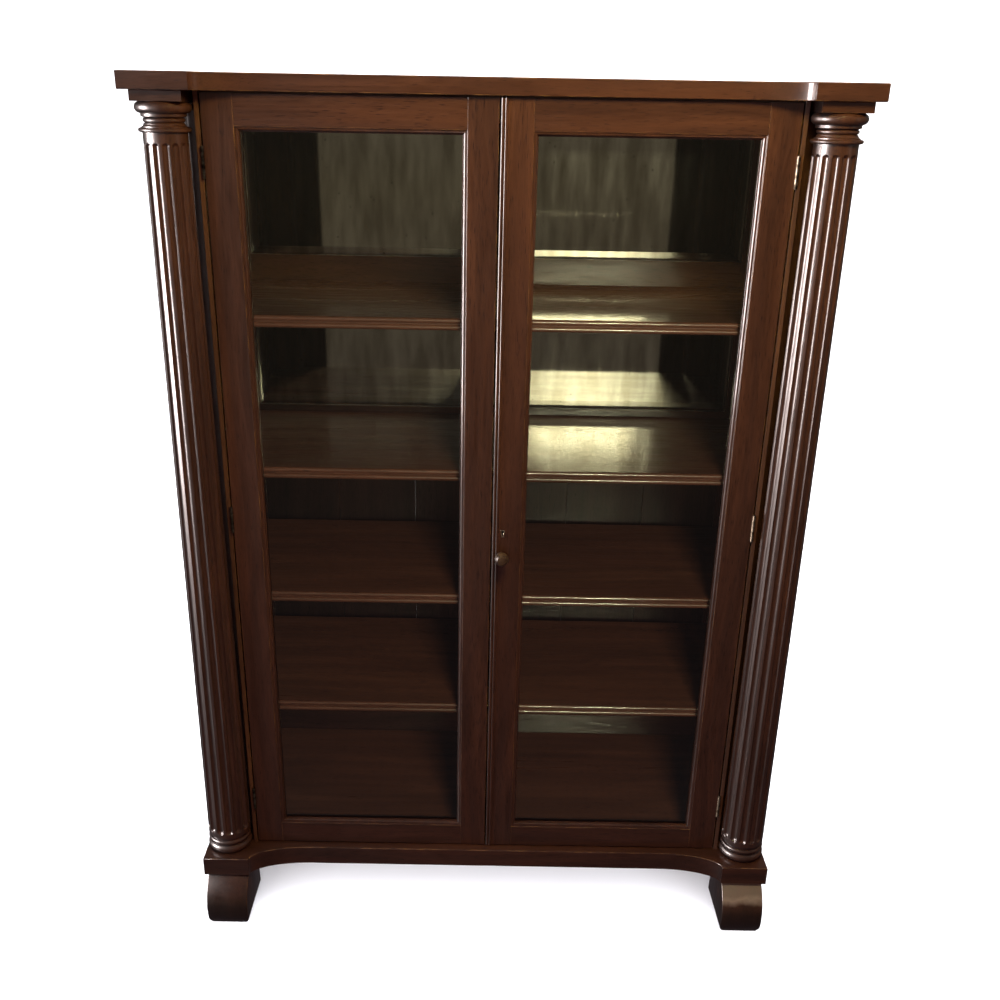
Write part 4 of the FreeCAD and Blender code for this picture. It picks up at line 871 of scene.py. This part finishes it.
# %% One screw and one peg
def screw_form():
    """A countersunk screw, head up: a shank with a cone, and two half heads with a slot between."""
    form = lathe([(0, -8.3), (1.3, -7.6), (1.3, -1.3), (2.1, -0.5), (0, -0.5)], (0, 0, 0), 14)
    half_slot = 0.35
    for sign in (1, -1):
        rims = []
        for radius, rise in ((2.12, -0.55), (2.6, 0)):
            first = math.acos(half_slot / radius)
            turns = [first - 2 * first * n / 8 for n in range(9)]
            spots = [Vector((sign * radius * math.cos(t), radius * math.sin(t), rise)) * MM for t in turns]
            rims.append([form.verts.new(spot) for spot in spots])
        for n in range(9):
            form.faces.new((rims[0][n], rims[0][(n + 1) % 9], rims[1][(n + 1) % 9], rims[1][n]))
        form.faces.new(rims[0])
        form.faces.new(rims[1])
    bmesh.ops.recalc_face_normals(form, faces=form.faces)
    return form


peg_profile = [(0, -18), (3, -18), (3, -0.8), *arc(2.2, -0.8, 0.8, 0, 80, 3)[1:], (0, 0)]
tree, fixing_sockets, given, result = geometry_tree("set_out_fixings", [
    ("Spots", "Geometry"), ("Fixing", "Object"), ("Seed", "Int"), ("Finish", "Material")])
facing = add(tree, "GeometryNodeInputNamedAttribute", {"data_type": "FLOAT_VECTOR"}, {"Name": "facing"})
lined = add(tree, "FunctionNodeAlignRotationToVector", {"axis": "Z"}, {"Vector": facing})
spin = add(tree, "FunctionNodeRandomValue", {"data_type": "FLOAT"},
           {2: 0.0, 3: math.pi, "Seed": given["Seed"]})
spin = add(tree, "ShaderNodeCombineXYZ", sockets={"Z": spin.outputs[1]})
spin = add(tree, "FunctionNodeEulerToRotation", sockets=(spin,))
turned = add(tree, "FunctionNodeRotateRotation", {"rotation_space": "LOCAL"}, (lined, spin))
shown = add(tree, "GeometryNodeObjectInfo", sockets={"Object": given["Fixing"]})
strewn = add(tree, "GeometryNodeInstanceOnPoints",
             sockets={"Points": given["Spots"], "Instance": shown.outputs["Geometry"], "Rotation": turned})
real = add(tree, "GeometryNodeRealizeInstances", sockets={"Geometry": strewn})
coated = add(tree, "GeometryNodeSetMaterial", sockets={"Geometry": real, "Material": given["Finish"]})
tree.links.new(coated.outputs[0], result.inputs[0])
fixing_tree = tree

# %% Set out the screws and the pegs
screw_nodes = [node for node in frame["nodes"] if node.endswith("hinge_screws")]
for kind, form, nodes in (("screw", screw_form(), screw_nodes),
                          ("peg", lathe(peg_profile, (0, 0, 0), 16), ["shelf_pegs"])):
    pattern = bpy.data.objects.new(kind, finished(form, kind, FINISH[SLOT_OF[nodes[0]]], 40))
    for node in nodes:
        spots = spots_of(node)
        count = len(spots.vertices)
        mesh = grown(node, fixing_tree, fixing_sockets,
                     {"Fixing": pattern, "Seed": 7, "Finish": FINISH[SLOT_OF[node]]}, start=spots)
        mesh.set_sharp_from_angle(angle=math.radians(40))
        name = f"{node}_slotted" if kind == "screw" else "turned_shelf_pegs"
        piece(name, mesh, BODY_OF[node], SLOT_OF[node], node)
        print(node, count, kind, len(mesh.polygons), "faces")
    bpy.data.objects.remove(pattern)

# %% [markdown]
# ## What each light falls on
# The real room is more crowded than this one: something stands between the far window and the cabinet's
# front, and only the shelves and the mirrors see it. Two lights are for the paper alone, the warm lamp
# leaves the paper out, and the side lights are for the plain sides, where the window's glare would hide the
# grain.

# %% Share out the lights
def only_for(light, *things, leave_out=False):
    """Lets a light fall on these things alone, or on everything but them."""
    group = bpy.data.collections.new(light.name)
    for thing in things:
        group.objects.link(thing)
    for member in group.collection_objects:
        member.light_linking.link_state = "EXCLUDE" if leave_out else "INCLUDE"
    light.light_linking.receiver_collection = group


inside = [thing for thing in bpy.context.scene.objects
          if thing.name.startswith(("shelf_", "case_floor", "mirror_upper", "mirror_lower"))]
only_for(distant, *inside)
only_for(floor_light, studio)
only_for(wall_light, studio)
sides = [thing for thing in bpy.context.scene.objects if thing.name.startswith(("side_", "foot_rear"))]
for light in side_lights:
    only_for(light, *sides)
only_for(window, *sides, leave_out=True)
only_for(warm, studio, leave_out=True)
print("the far window lights", [thing.name for thing in inside])
